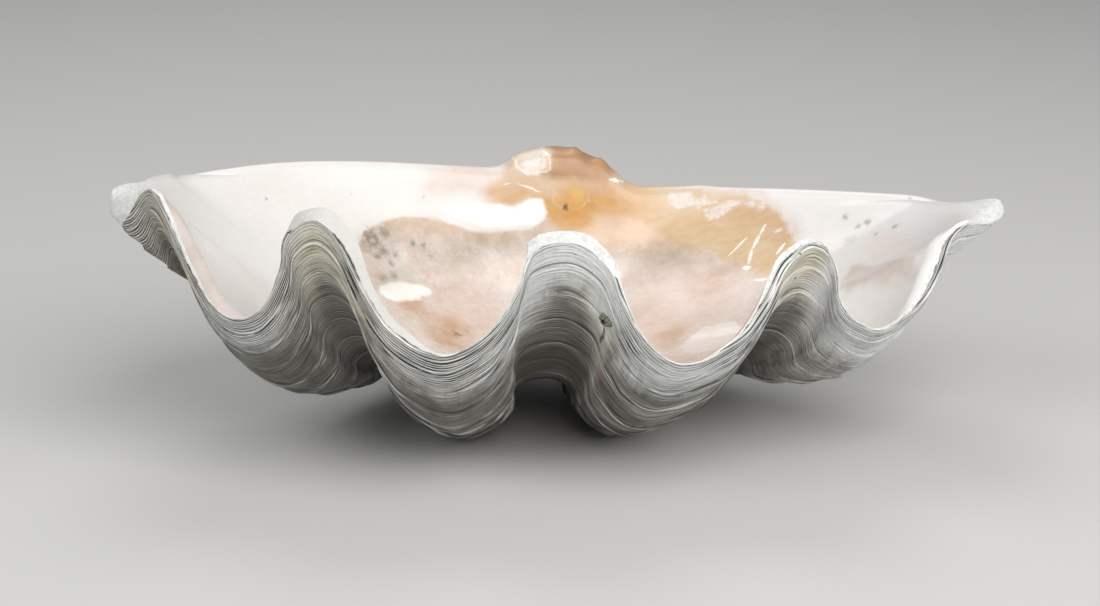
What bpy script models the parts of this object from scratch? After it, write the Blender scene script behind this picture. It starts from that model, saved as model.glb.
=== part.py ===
# One valve of a giant clam, lying hollow side up on the backs of its ribs.
# Metres, +Z up, +X right, -Y towards the wavy front margin.
# The valve is one grown piece: its outside is the wavy margin carried back through all its
# earlier sizes, turned and shrunk about the beak, so every growth ledge runs parallel to the margin.

import math

import bmesh
import bpy
import numpy as np

# Outer edge of the lip, as x, y, z, seen from the beak at the origin with the hollow up.
# The front runs from the left corner over four ribs to the right corner.
FRONT_MARGIN = (
    # left corner and the half fold beside it
    (-0.367, -0.242, 0.038),
    (-0.353, -0.261, 0.045),
    (-0.334, -0.279, 0.069),
    (-0.321, -0.293, 0.054),
    (-0.305, -0.307, 0.011),
    (-0.290, -0.321, -0.014),
    # first rib
    (-0.270, -0.335, -0.022),
    (-0.247, -0.342, -0.009),
    (-0.233, -0.349, 0.021),
    (-0.229, -0.357, 0.051),
    (-0.212, -0.364, 0.064),
    (-0.194, -0.372, 0.050),
    (-0.176, -0.381, 0.011),
    (-0.155, -0.389, -0.020),
    # second rib
    (-0.119, -0.398, -0.037),
    (-0.085, -0.397, -0.023),
    (-0.066, -0.397, 0.006),
    (-0.055, -0.396, 0.040),
    (-0.022, -0.396, 0.051),
    (0.006, -0.398, 0.034),
    (0.023, -0.397, 0.000),
    (0.044, -0.396, -0.031),
    # third rib
    (0.072, -0.396, -0.046),
    (0.112, -0.387, -0.038),
    (0.135, -0.381, -0.014),
    (0.154, -0.369, 0.016),
    (0.176, -0.358, 0.027),
    (0.197, -0.346, 0.006),
    (0.207, -0.334, -0.026),
    (0.224, -0.323, -0.048),
    # fourth rib, then the half fold and the right corner
    (0.246, -0.311, -0.059),
    (0.278, -0.297, -0.046),
    (0.298, -0.283, -0.023),
    (0.312, -0.269, 0.003),
    (0.331, -0.255, 0.010),
    (0.369, -0.204, -0.006),
)

# The back runs from the right corner, over the hinge, to the left corner.
BACK_MARGIN = (
    (0.367, -0.186, 0.003),
    (0.352, -0.150, -0.004),
    (0.322, -0.114, -0.007),
    (0.270, -0.078, -0.012),
    (0.200, -0.044, -0.016),
    (0.130, -0.020, -0.018),
    (0.086, -0.010, -0.017),
    (0.066, -0.006, -0.002),
    (0.040, -0.003, 0.014),
    (0.010, -0.003, 0.020),
    (-0.020, -0.010, 0.016),
    (-0.040, -0.016, 0.006),
    (-0.080, -0.026, 0.010),
    (-0.160, -0.046, 0.021),
    (-0.230, -0.072, 0.029),
    (-0.300, -0.116, 0.034),
    (-0.345, -0.168, 0.040),
    (-0.366, -0.218, 0.044),
)

# How far each fold strays sideways on its way back to the beak, at that fold's place in x.
FOLD_LEAN = (
    (-0.367, 0.0),
    (-0.334, -0.040),
    (-0.270, -0.018),
    (-0.212, -0.015),
    (-0.119, -0.010),
    (-0.022, -0.007),
    (0.072, -0.015),
    (0.176, 0.005),
    (0.246, 0.026),
    (0.331, -0.002),
    (0.369, 0.0),
)
LEAN_TURN = 0.60

# Growth: the turn about the beak is in radians, and size falls as exp(-(a turn + b turn^2)).
BEAK = (0.012, 0.0, -0.003)
SHRINK = 0.54
SHRINK_MORE = 0.25
BEAK_TURN = 2.75
SMALL_TURN = 0.01

# Growth ledges, as the turn at which each one ends and how far it stands out.
LEDGES = (
    (0.05, 0.0025),
    (0.12, 0.0035),
    (0.20, 0.0030),
    (0.30, 0.0040),
    (0.40, 0.0035),
    (0.52, 0.0045),
    (0.66, 0.0040),
    (0.82, 0.0040),
    (1.02, 0.0035),
    (1.28, 0.0030),
    (1.62, 0.0025),
    (2.05, 0.0015),
)
LEDGE_DROP = 0.018
LEDGE_MIDWAY = 0.45

# Lip thickness: thin in the ribs, thick on the crests between them, thickest at the hinge.
LIP_RIB = 0.007
LIP_CREST = 0.012
LIP_BACK = 0.016
LIP_CORNER = 0.016
LIP_HINGE = 0.036
LIP_RISE = 0.003
CROWN_FRONT = 0.003
CROWN_CORNER = 0.018
CROWN_BACK = 0.007
RIB_HEIGHT = -0.045
CREST_HEIGHT = 0.055
HINGE_X = 0.025
HINGE_HALF = 0.075
CORNER_AT = 0.325
CORNER_END = 0.365
CORNER_PASSES = 5
CORNER_SOFTNESS = 0.7

# The hollow: its lowest point, the line of the fold crests, and how the folds die out inwards.
# Parts of the way are 0 at the lip and 1 at the lowest point.
BOWL = (-0.005, -0.168, -0.116)
CREST_LINE = 0.045
CREST_SLOPE = -0.085
BOWL_TURN = 0.95
FOLDS_FILLED = 0.62
WALL_LEFT_AT = 0.25
SOFT_FROM = 0.2
SOFT_TO = 0.9
SOFTNESS = 0.34
SIDE_AT = 0.24
SIDE_END = 0.36
SIDE_SHARE = 0.8
WALL_POWER = 1.9
HINGE_WALL_POWER = 2.4
HINGE_WALL_HALF = 0.13

# Where the front ends and the back begins, as the distance in front of the beak.
BACK_AT = 0.06
FRONT_AT = 0.23

# Mesh: samples between two margin points, and rings from the lip to the bowl's lowest point.
FRONT_STEPS = 2
BACK_STEPS = 1
BOWL_RINGS = 14

# Rest: the valve tips about X and Y until it balances, and its ribs are worn flat by WEAR.
REST_PITCH = 0.25
REST_ROLL = -1.0
WEAR = 0.005

SHELL_COLOUR = (0.68, 0.64, 0.57, 1.0)
SHELL_ROUGHNESS = 0.55


def smooth_step(low, high, value):
    t = np.clip((value - low) / (high - low), 0.0, 1.0)
    return t * t * (3.0 - 2.0 * t)


def clear_scene():
    for item in list(bpy.data.objects):
        bpy.data.objects.remove(item, do_unlink=True)


def front_part(points):
    """1 on the front and the corners, 0 along the back margin."""
    return smooth_step(BACK_AT, FRONT_AT, -points[:, 1])


def margin_loop():
    """Closed smooth curve through the margin points."""
    points = np.array(FRONT_MARGIN + BACK_MARGIN)
    steps = [FRONT_STEPS] * (len(FRONT_MARGIN) - 1) + [BACK_STEPS] * (len(BACK_MARGIN) + 1)
    curve = []
    for i, count in enumerate(steps):
        a, b, c, d = (points[(i + k) % len(points)] for k in (-1, 0, 1, 2))
        for t in np.arange(count) / count:
            curve.append(0.5 * (2 * b + (c - a) * t + (2 * a - 5 * b + 4 * c - d) * t ** 2
                                + (3 * b - a - 3 * c + d) * t ** 3))
    return np.array(curve)


def grow_back(points, turn):
    """Where points of the margin were when the valve was younger by this turn."""
    size = math.exp(-(SHRINK * turn + SHRINK_MORE * turn ** 2))
    cosine, sine = math.cos(turn), math.sin(turn)
    x, y, z = (points - np.array(BEAK)).T
    lean_x, lean = np.array(FOLD_LEAN).T
    stray = np.interp(points[:, 0], lean_x, lean) * front_part(points)
    stray *= turn / LEAN_TURN * math.exp(1.0 - turn / LEAN_TURN)
    older = np.stack([x * size + stray, (y * cosine - z * sine) * size, (y * sine + z * cosine) * size], 1)
    return older + np.array(BEAK)


def outward(before, here, after):
    """Unit normals of a ring, from the rings on both sides of it."""
    along = np.roll(here, -1, 0) - np.roll(here, 1, 0)
    normal = np.cross(after - before, along)
    return normal / np.maximum(np.linalg.norm(normal, axis=1, keepdims=True), 1e-9)


def soften(ring, width):
    """Even out the waves of a closed ring, the short ones first."""
    waves = np.fft.rfft(ring, axis=0)
    waves *= np.exp(-0.5 * (np.arange(len(waves)) * width) ** 2)[:, None]
    return np.fft.irfft(waves, len(ring), axis=0)


def ring_turns():
    """Turn of each outside ring, and how far that ring stands out."""
    rings = [(0.0, 0.0)]
    last = 0.0
    for turn, height in LEDGES:
        if last > 0.0:
            rings.append((0.5 * (last + turn), LEDGE_MIDWAY * height))
        rings.append((turn - LEDGE_DROP, 0.0))
        rings.append((turn, height))
        last = turn
    rings.append((0.5 * (last + BEAK_TURN), 0.0))
    rings.append((BEAK_TURN, 0.0))
    return sorted(rings)


def outside_rings(margin):
    rings = []
    for turn, height in ring_turns():
        here = grow_back(margin, turn)
        normal = outward(grow_back(margin, turn - SMALL_TURN), here, grow_back(margin, turn + SMALL_TURN))
        rings.append(here + normal * height * front_part(margin)[:, None])
    return rings


def lip_rings(margin):
    """The lip's crown, which stands a little proud, and its inner edge."""
    front = front_part(margin)[:, None]
    crest = smooth_step(RIB_HEIGHT, CREST_HEIGHT, margin[:, 2])[:, None]
    corner = smooth_step(CORNER_AT, CORNER_END, np.abs(margin[:, 0]))[:, None]
    hinge = np.exp(-((margin[:, 0] - HINGE_X) / HINGE_HALF) ** 2)[:, None] * (1.0 - front)
    younger, older = grow_back(margin, SMALL_TURN), grow_back(margin, -SMALL_TURN)
    across = outward(younger, margin, older) * front + np.array([0.0, -1.0, 0.0]) * (1.0 - front)
    across /= np.linalg.norm(across, axis=1, keepdims=True)
    along = older - younger
    along /= np.maximum(np.linalg.norm(along, axis=1, keepdims=True), 1e-9)
    along = along * front + np.array([0.0, 0.0, 1.0]) * (1.0 - front)
    thick = (LIP_RIB + (LIP_CREST - LIP_RIB) * crest) * front + LIP_BACK * (1.0 - front)
    thick += (LIP_CORNER - thick) * corner + (LIP_HINGE - LIP_BACK) * hinge
    proud = CROWN_FRONT * front + CROWN_BACK * (1.0 - front)
    proud += (CROWN_CORNER - proud) * corner
    edge = margin + across * thick
    edge[:, 2] += LIP_RISE * (crest * front)[:, 0]
    for _ in range(CORNER_PASSES):
        level = 0.5 * (np.roll(edge, -1, 0) + np.roll(edge, 1, 0))
        edge += (level - edge) * CORNER_SOFTNESS * corner
    return [0.5 * (margin + edge) + along * proud, edge]


def inside_rings(edge):
    """Rings of the hollow, from the lip's inner edge down to the bowl's lowest point."""
    bowl = np.array(BOWL)
    front = front_part(edge)
    power = WALL_POWER + HINGE_WALL_POWER * np.exp(-(edge[:, 0] / HINGE_WALL_HALF) ** 2) * (1.0 - front)
    trough = np.minimum(edge[:, 2] - (CREST_LINE + CREST_SLOPE * edge[:, 0]), 0.0) * front
    middle = 1.0 - SIDE_SHARE * smooth_step(SIDE_AT, SIDE_END, np.abs(edge[:, 0]))
    rings = []
    for step in range(1, BOWL_RINGS):
        in_part = step / BOWL_RINGS
        filled = edge.copy()
        filled[:, 2] -= trough * smooth_step(0.0, FOLDS_FILLED, in_part)
        grown = grow_back(filled, BOWL_TURN * in_part)
        straight = bowl + (edge - bowl) * (1.0 - in_part)
        straight[:, 2] = bowl[2] + (edge[:, 2] - trough - bowl[2]) * (1.0 - in_part) ** power
        follow = (front * middle * (1.0 - smooth_step(WALL_LEFT_AT, 1.0, in_part)))[:, None]
        ring = grown * follow + straight * (1.0 - follow)
        rings.append(soften(ring, SOFTNESS * smooth_step(SOFT_FROM, SOFT_TO, in_part)))
    return rings


def rest(points):
    """Tip the valve as it balances, set it on z = 0 and centre it."""
    pitch, roll = math.radians(REST_PITCH), math.radians(REST_ROLL)
    x, y, z = points.T
    y, z = y * math.cos(pitch) - z * math.sin(pitch), y * math.sin(pitch) + z * math.cos(pitch)
    x, z = x * math.cos(roll) + z * math.sin(roll), z * math.cos(roll) - x * math.sin(roll)
    x = x - 0.5 * (x.min() + x.max())
    y = y - 0.5 * (y.min() + y.max())
    z = np.maximum(z - z.min() - WEAR, 0.0)
    return np.stack([x, y, z], 1)


def valve_mesh():
    margin = margin_loop()
    outer = outside_rings(margin)
    lip = lip_rings(margin)
    rings = outer[::-1] + lip + inside_rings(lip[-1])
    count = len(margin)
    beak_cap = outer[-1].mean(axis=0)
    points = rest(np.concatenate(rings + [beak_cap[None], np.array(BOWL)[None]]))
    mesh = bmesh.new()
    verts = [mesh.verts.new(p) for p in points]
    for ring in range(len(rings) - 1):
        for i in range(count):
            j = (i + 1) % count
            here, there = ring * count, (ring + 1) * count
            mesh.faces.new((verts[here + i], verts[here + j], verts[there + j], verts[there + i]))
    last = (len(rings) - 1) * count
    for i in range(count):
        j = (i + 1) % count
        mesh.faces.new((verts[-2], verts[j], verts[i]))
        mesh.faces.new((verts[-1], verts[last + i], verts[last + j]))
    bmesh.ops.recalc_face_normals(mesh, faces=mesh.faces)
    data = bpy.data.meshes.new("clam_valve")
    mesh.to_mesh(data)
    mesh.free()
    return data


def shell_material():
    material = bpy.data.materials.new("shell")
    material.use_nodes = True
    shader = material.node_tree.nodes["Principled BSDF"]
    shader.inputs["Base Color"].default_value = SHELL_COLOUR
    shader.inputs["Roughness"].default_value = SHELL_ROUGHNESS
    shader.inputs["Metallic"].default_value = 0.0
    return material


def main():
    clear_scene()
    valve = bpy.data.objects.new("clam_valve", valve_mesh())
    valve.data.materials.append(shell_material())
    bpy.context.scene.collection.objects.link(valve)


main()
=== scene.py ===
# One valve of a giant clam, hollow side up: chalky growth lamellae outside, stained porcelain inside.
# Metres unless a note says millimetres, +Z up, -Y towards the wavy front margin.
import math

import bpy
import numpy as np
from mathutils import Matrix, Vector


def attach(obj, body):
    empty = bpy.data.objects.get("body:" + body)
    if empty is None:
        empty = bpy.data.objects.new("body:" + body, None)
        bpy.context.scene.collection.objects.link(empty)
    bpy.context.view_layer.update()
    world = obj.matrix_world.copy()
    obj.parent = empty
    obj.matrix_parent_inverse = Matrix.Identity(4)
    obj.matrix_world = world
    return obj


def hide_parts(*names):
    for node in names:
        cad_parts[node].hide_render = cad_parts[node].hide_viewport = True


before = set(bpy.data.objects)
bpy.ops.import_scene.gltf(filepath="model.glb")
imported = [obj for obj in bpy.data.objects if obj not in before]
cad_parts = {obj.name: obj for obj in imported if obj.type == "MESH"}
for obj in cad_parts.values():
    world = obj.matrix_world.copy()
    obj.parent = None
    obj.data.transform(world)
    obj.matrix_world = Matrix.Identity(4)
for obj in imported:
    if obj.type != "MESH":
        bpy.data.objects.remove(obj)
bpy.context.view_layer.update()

# How the valve grows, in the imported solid's own numbers: the margin seen from the beak, hollow up.
growth = {
    "frontMargin": (  # millimetres
        (-367, -242, 38), (-353, -261, 45), (-334, -279, 69),  # left corner
        (-321, -293, 54), (-305, -307, 11), (-290, -321, -14),
        (-270, -335, -22), (-247, -342, -9), (-233, -349, 21),  # first rib
        (-229, -357, 51), (-212, -364, 64), (-194, -372, 50),
        (-176, -381, 11), (-155, -389, -20),
        (-119, -398, -37), (-85, -397, -23), (-66, -397, 6),  # second rib
        (-55, -396, 40), (-22, -396, 51), (6, -398, 34),
        (23, -397, 0), (44, -396, -31),
        (72, -396, -46), (112, -387, -38), (135, -381, -14),  # third rib
        (154, -369, 16), (176, -358, 27), (197, -346, 6),
        (207, -334, -26), (224, -323, -48),
        (246, -311, -59), (278, -297, -46), (298, -283, -23),  # fourth rib
        (312, -269, 3), (331, -255, 10), (369, -204, -6),  # right corner
    ),
    "backMargin": (  # millimetres
        (367, -186, 3), (352, -150, -4), (322, -114, -7),
        (270, -78, -12), (200, -44, -16), (130, -20, -18),
        (86, -10, -17), (66, -6, -2), (40, -3, 14),  # hinge hump
        (10, -3, 20), (-20, -10, 16), (-40, -16, 6),
        (-80, -26, 10), (-160, -46, 21), (-230, -72, 29),
        (-300, -116, 34), (-345, -168, 40), (-366, -218, 44),
    ),
    "foldLean": (  # millimetres: place in x, and how far the fold there leans sideways with growth
        (-367, 0), (-334, -40), (-270, -18), (-212, -15), (-119, -10), (-22, -7),
        (72, -15), (176, 5), (246, 26), (331, -2), (369, 0),
    ),
    "leanTurn": 0.60,
    "beak": (0.012, 0.0, -0.003),
    "shrink": 0.54,
    "shrinkMore": 0.25,
    "beakTurn": 2.75,
    "backAt": 0.06,
    "frontAt": 0.23,
    "restPitch": 0.25,  # degrees
    "restRoll": -1.0,
    "restShift": (-0.00074, 0.18547, 0.17593),
    "frontSteps": 8,  # samples between two margin points
    "backSteps": 4,
}


nudge = 0.01  # radians of growth to both sides of a ring, from which its normals are taken


def smoothStep(low, high, value):
    t = np.clip((value - low) / (high - low), 0.0, 1.0)
    return t * t * (3.0 - 2.0 * t)


def unit(vectors):
    return vectors / np.maximum(np.linalg.norm(vectors, axis=-1, keepdims=True), 1e-9)


def frontPart(points):  # 1 on the front and the corners, 0 along the back margin
    return smoothStep(growth["backAt"], growth["frontAt"], -points[:, 1])


def marginLoop():
    front, back = growth["frontMargin"], growth["backMargin"]
    points = np.array(front + back) / 1000.0
    steps = [growth["frontSteps"]] * (len(front) - 1) + [growth["backSteps"]] * (len(back) + 1)
    curve = []
    for i, count in enumerate(steps):
        a, b, c, d = (points[(i + k) % len(points)] for k in (-1, 0, 1, 2))
        for t in np.arange(count) / count:
            curve.append(0.5 * (2 * b + (c - a) * t + (2 * a - 5 * b + 4 * c - d) * t ** 2
                                + (3 * b - a - 3 * c + d) * t ** 3))
    return np.array(curve)


def alongMargin(table, points, unit=1.0):  # a table's values at these points; its places in x are millimetres
    places, *columns = np.array(table).T
    return [np.interp(points[:, 0], places / 1000.0, column / unit) for column in columns]


def growBack(points, turn):  # where margin points were when the valve was younger by this turn
    turn = np.broadcast_to(turn, len(points))
    size = np.exp(-(growth["shrink"] * turn + growth["shrinkMore"] * turn ** 2))
    cosine, sine = np.cos(turn), np.sin(turn)
    x, y, z = (points - np.array(growth["beak"])).T
    leanTurn = growth["leanTurn"]
    stray = alongMargin(growth["foldLean"], points, 1000.0)[0] * frontPart(points)
    stray = stray * turn / leanTurn * np.exp(1.0 - turn / leanTurn)
    older = np.stack([x * size + stray, (y * cosine - z * sine) * size, (y * sine + z * cosine) * size], 1)
    return older + np.array(growth["beak"])


def outward(before, here, after):  # unit normals of a ring, from the rings on both sides of it
    along = np.roll(here, -1, 0) - np.roll(here, 1, 0)
    return unit(np.cross(after - before, along))


def soften(ring, width):  # evens out the waves of a closed ring, the short ones first
    waves = np.fft.rfft(ring, axis=0)
    waves *= np.exp(-0.5 * (np.arange(len(waves)) * width) ** 2)[:, None]
    return np.fft.irfft(waves, len(ring), axis=0)


def toRest(points):  # from the growing frame to the way the valve lies
    pitch, roll = math.radians(growth["restPitch"]), math.radians(growth["restRoll"])
    x, y, z = np.moveaxis(points, -1, 0)
    y, z = y * math.cos(pitch) - z * math.sin(pitch), y * math.sin(pitch) + z * math.cos(pitch)
    x, z = x * math.cos(roll) + z * math.sin(roll), z * math.cos(roll) - x * math.sin(roll)
    shiftX, shiftY, shiftZ = growth["restShift"]
    return np.stack([x + shiftX, y + shiftY, z + shiftZ], -1)


def crestAt(points):  # 0 in the ribs, 1 on the crests between them
    return smoothStep(*lamellae["crestBetween"], points[:, 2] + lip["heightSlope"] * points[:, 0])


class Waves:  # smooth repeatable unevenness: a few sines with seeded directions and phases
    def __init__(self, seed, shortest, longest, count=9, dims=2):
        rng = np.random.default_rng(seed)
        lengths = shortest * (longest / shortest) ** rng.random(count)
        directions = unit(rng.normal(size=(count, dims)))
        self.steps = directions * (2.0 * math.pi / lengths)[:, None]
        self.phases = rng.random(count) * 2.0 * math.pi
        self.weights = lengths ** 0.5
        self.weights /= math.sqrt((self.weights ** 2).sum() * 0.5)

    def __call__(self, *where):  # about -1 to 1
        total = 0.0
        for step, phase, weight in zip(self.steps, self.phases, self.weights):
            total = total + weight * np.sin(sum(s * w for s, w in zip(step, where)) + phase)
        return total * 0.6


# Growth lamellae of the outside. The ledges are those of the solid, and the small ones lie between them.
lamellae = {
    "ledges": (  # radians of growth, height
        (0.05, 0.0025), (0.12, 0.0035), (0.20, 0.0030), (0.30, 0.0040), (0.40, 0.0035), (0.52, 0.0045),
        (0.66, 0.0040), (0.82, 0.0040), (1.02, 0.0035), (1.28, 0.0030), (1.62, 0.0025), (2.05, 0.0015),
    ),
    "ledgeDrop": 0.0050,
    "smallDrop": 0.0022,
    "smallGap": ((0.0, 0.0064), (0.15, 0.0088), (0.5, 0.0165), (0.9, 0.028), (1.4, 0.060), (2.75, 0.14)),
    "smallHeight": ((0.0, 0.00065), (0.12, 0.00045), (0.4, 0.00040), (1.2, 0.0004), (2.2, 0.0003)),
    "smallMark": 0.12,
    "quiet": 0.30,  # share of their height that the small ones keep far from a ledge
    "backShare": 0.30,  # how much of the relief the smooth back keeps
    "groove": 0.011, "grooveFrom": 0.05, "grooveTo": 0.42, "crestBetween": (-0.004, 0.050),
    "valleyCalm": 0.60,  # share of the relief that is missing deep between two ribs
    "drift": 0.0026, "quickDrift": 0.45, "swell": 0.0005, "calmTurn": 0.05,  # the rim itself doesn't drift
    "waves": (  # shortest, longest and number of waves: slow and quick drift, uneven ledges and small lamellae
        (0.05, 0.40, 14), (0.018, 0.07, 14), (0.03, 0.20, 12), (0.02, 0.12, 16),
    ),
    "valleyTurn": (0.08, 0.30), "grooveFade": 1.6,  # radians of growth
    "leastRoom": 0.10, "ledgeSpread": (0.88, 0.22),
    "smallSpread": (0.75, 0.75, 0.05, 2.0), "markSpread": (0.6, 0.5, 0.1, 1.3),  # middle, spread, least, most
    "crestWidth": 0.0025, "crestEnd": 0.93, "crestMark": 0.25, "gapSpread": 0.22,
    "slopePower": 1.4, "quietReach": 0.45,
    "smallStrength": (0.25, 1.5, 1.7), "smallMarkMost": 1.2,  # least, power, most
    "seed": 23,
}


def varied(spread, uneven):
    middle, share, least, most = spread
    return np.clip(middle + share * uneven, least, most)


def lamellaRings(seed):
    rng = np.random.default_rng(seed)
    gapTurn, gap = np.array(lamellae["smallGap"]).T
    highTurn, high = np.array(lamellae["smallHeight"]).T
    least, power, most = lamellae["smallStrength"]
    edges = [0.0] + [turn for turn, _ in lamellae["ledges"]] + [growth["beakTurn"]]
    heights = [0.0] + [height for _, height in lamellae["ledges"]] + [0.0]
    # The last value says where the colour gets a painted highlight (crest) or painted shade (foot).
    rings = []  # turn, height of the ledge there, height of the small lamella there, 1 crest or -1 foot
    for i in range(len(edges) - 1):
        start, end = edges[i], edges[i + 1]
        foot = end - (lamellae["ledgeDrop"] if heights[i + 1] else 0.0)
        if i:
            rings.append((start, heights[i], 0.0, 1.0))
            crestEnd = heights[i] * lamellae["crestEnd"]
            rings.append((start + lamellae["crestWidth"], crestEnd, 0.0, lamellae["crestMark"]))
        count = max(1, round((end - start) / np.interp(0.5 * (start + end), gapTurn, gap)))
        spread = rng.uniform(-lamellae["gapSpread"], lamellae["gapSpread"], count - 1)
        small = start + (foot - start) * (np.arange(1, count) + spread) / count
        for turn in small:
            part = (turn - start) / (foot - start)
            slope = heights[i] * (1.0 - part) ** lamellae["slopePower"]
            lively = lamellae["quiet"] + (1.0 - lamellae["quiet"]) * math.exp(-(part / lamellae["quietReach"]) ** 2)
            strength = rng.uniform(least, 1.0) ** power * most * (1.0 if i == 0 else lively)
            rise = np.interp(turn, highTurn, high) * strength
            shown = lamellae["smallMark"] * min(lamellae["smallMarkMost"], strength)
            rings.append((turn - lamellae["smallDrop"], slope, 0.0, -shown))
            rings.append((turn, slope, rise, shown))
        if heights[i + 1]:
            rings.append((foot, 0.0, 0.0, -1.0))
    rings += [(0.0, 0.0, 0.0, 0.0), (growth["beakTurn"], 0.0, 0.0, 0.0)]
    return sorted(rings)


# The lip: thin in the ribs, thick on the crests between them, broken off level on the middle one.
lip = {
    "rib": 0.007, "crest": 0.012, "back": 0.016, "corner": 0.016, "hinge": 0.036, "rise": 0.001,
    "edgeRise": 0.0016, "crownBlunt": 0.010, "crownFin": 0.003, "crownBack": 0.006,
    "ribHeight": -0.035, "crestHeight": 0.040, "heightSlope": 0.10,
    "hingeX": 0.025, "hingeHalf": 0.075,
    "crispTo": 0.335, "cornerAt": 0.325, "cornerEnd": 0.365, "cornerPasses": 80, "cornerSoftness": 0.7,
    "across": (0.03, 0.09, 0.17, 0.25, 0.34, 0.43, 0.52, 0.61, 0.70, 0.79, 0.88, 0.95),
    "sheets": 3.4, "sheetStep": 0.0008, "sheetWander": 0.5,  # edges of the growth sheets that show across the lip
    "crownPower": 0.8, "bulgePower": 1.8, "bulge": 0.8, "layersFade": 0.15,
    "thickShare": (  # place in x in millimetres, and how much of its thickness the worn edge keeps there
        (-367, 1.0), (-345, 0.80), (-332, 0.42), (-314, 0.45), (-303, 0.50), (-297, 0.36), (-287, 0.28),
        (-263, 0.32), (-250, 0.38), (-240, 0.34), (-229.2, 0.40), (-226.2, 1.15), (-200, 1.15), (-176, 1.10),
        (-163, 1.45), (-150, 1.60), (-138, 1.20), (-128, 0.80), (-112, 0.32), (-90, 0.26), (-60, 0.30),
        (-55.5, 0.34), (-52, 0.90), (-20, 1.05), (4, 0.95), (12.2, 0.88), (14.5, 0.58), (24, 0.50), (34, 0.36),
        (48, 0.28), (83, 0.28), (107, 0.65), (120, 0.90), (157, 0.90), (170, 0.62), (184, 0.66), (195, 0.84),
        (206, 0.62), (216, 0.38), (240, 0.40), (256, 0.50), (275, 0.75), (290, 0.90), (306, 0.85), (315, 0.50),
        (325, 0.34), (345, 0.45), (369, 0.55),
    ),
    "chips": (  # place in x in millimetres, and how far the edge is cut back there, in radians of growth
        (-240, 0.0), (-231, 0.003), (-228, 0.006), (-214, 0.004), (-208, 0.001), (-196, 0.003), (-188, 0.0),
        (-62, 0.0), (-57.5, 0.005), (-52, 0.006), (-43, 0.001), (-22, 0.003), (-6, 0.000), (4, 0.006),
        (10, 0.002), (18, 0.004), (21, 0.0), (150, 0.0), (163, 0.002), (176, 0.0), (192, 0.003), (202, 0.0),
    ),
    "raggedness": 0.0012, "raggedMiddle": 0.6,
    "raggedWaves": (5, 0.012, 0.09, 12, 2), "crumbWaves": (31, 0.006, 0.03, 16, 3),  # seed, shortest, longest,
    "sheetWaves": (32, 0.04, 0.20, 10, 2),  # number and dimensions
    "breaks": 0.0035, "breakLength": 0.011,  # straight-sided nicks, deepest where the lip is bare
    "nickedWhere": (0.45, 0.10), "bareBack": 0.6, "cutDepth": 0.04,  # radians of growth that a cut reaches down
    "thinBreaks": 0.22, "thinBreakLength": 0.009, "crumbs": 0.0006,
    "bareFrom": (  # place in x in millimetres, and where across the lip its bare shell begins, under 0 outside it
        (-367, -0.5), (-355, -0.15), (-343, 0.25), (-325, 0.45), (-300, 0.35), (-270, 0.35), (-240, 0.80),
        (-229.2, 0.85), (-226.6, 0.02), (-205, -0.04), (-192, 0.22), (-170, 0.32), (-130, 0.34), (-112, 0.40),
        (-100, 0.40), (-66, 0.50), (-57.5, 0.60), (-54.5, 0.0), (-20, -0.06), (12, 0.0), (14.2, 0.55),
        (18.5, 0.72), (21.5, 0.70), (50, 0.45), (80, 0.45), (120, 0.80), (140, 0.75), (160, 0.55), (196, 0.60),
        (208, 0.75), (225, 0.45), (240, 0.45), (270, 0.55), (300, 0.66), (330, 0.30), (345, 0.0), (369, -0.6),
    ),
    "rimShifts": (  # millimetres: place in x, then how far the rim lies from where growth put it, along x and up
        (-340, 0, 0), (-330, -2, -3), (-318, -3, -2), (-300, 0, 0), (-258, 0, 0), (-246, -2, 0), (-236, -3, 0),
        (-231, -2, 1), (-226, 0, 2), (-200, 0, 1.5), (-190, 0, 0), (-80, 0, 0), (-70, 3, 0), (-66, 4, 0),
        (-61, 7, 0), (-56, 6, 0), (-51, 3, 0), (-36, 0, 0), (5, 0, 0), (14, 0, -2), (23, -1, -4.5), (34, -1, -6),
        (48, -1, -6.5), (63, 0, -7), (83, 0, -5), (105, 0, -0.5), (190, 0, 0), (202, -4, 0), (209, -5, -1),
        (216, -3, -3), (228, 0, -1.5), (245, 0, 0),
    ),
    "shiftTurn": 0.14, "shiftInPart": 0.30,
    "flatTop": (-0.062, 0.024, 0.2306),  # x from, x to, height at which the middle crest is broken off
    "flattened": 0.9, "flatFrontOf": -0.10,
}


def lipShare(shape):
    share = alongMargin(lip["thickShare"], shape)[0]
    corner = smoothStep(lip["cornerAt"], lip["cornerEnd"], -shape[:, 0])
    return 1.0 + (share - 1.0) * frontPart(shape) * (1.0 - corner)


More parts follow.
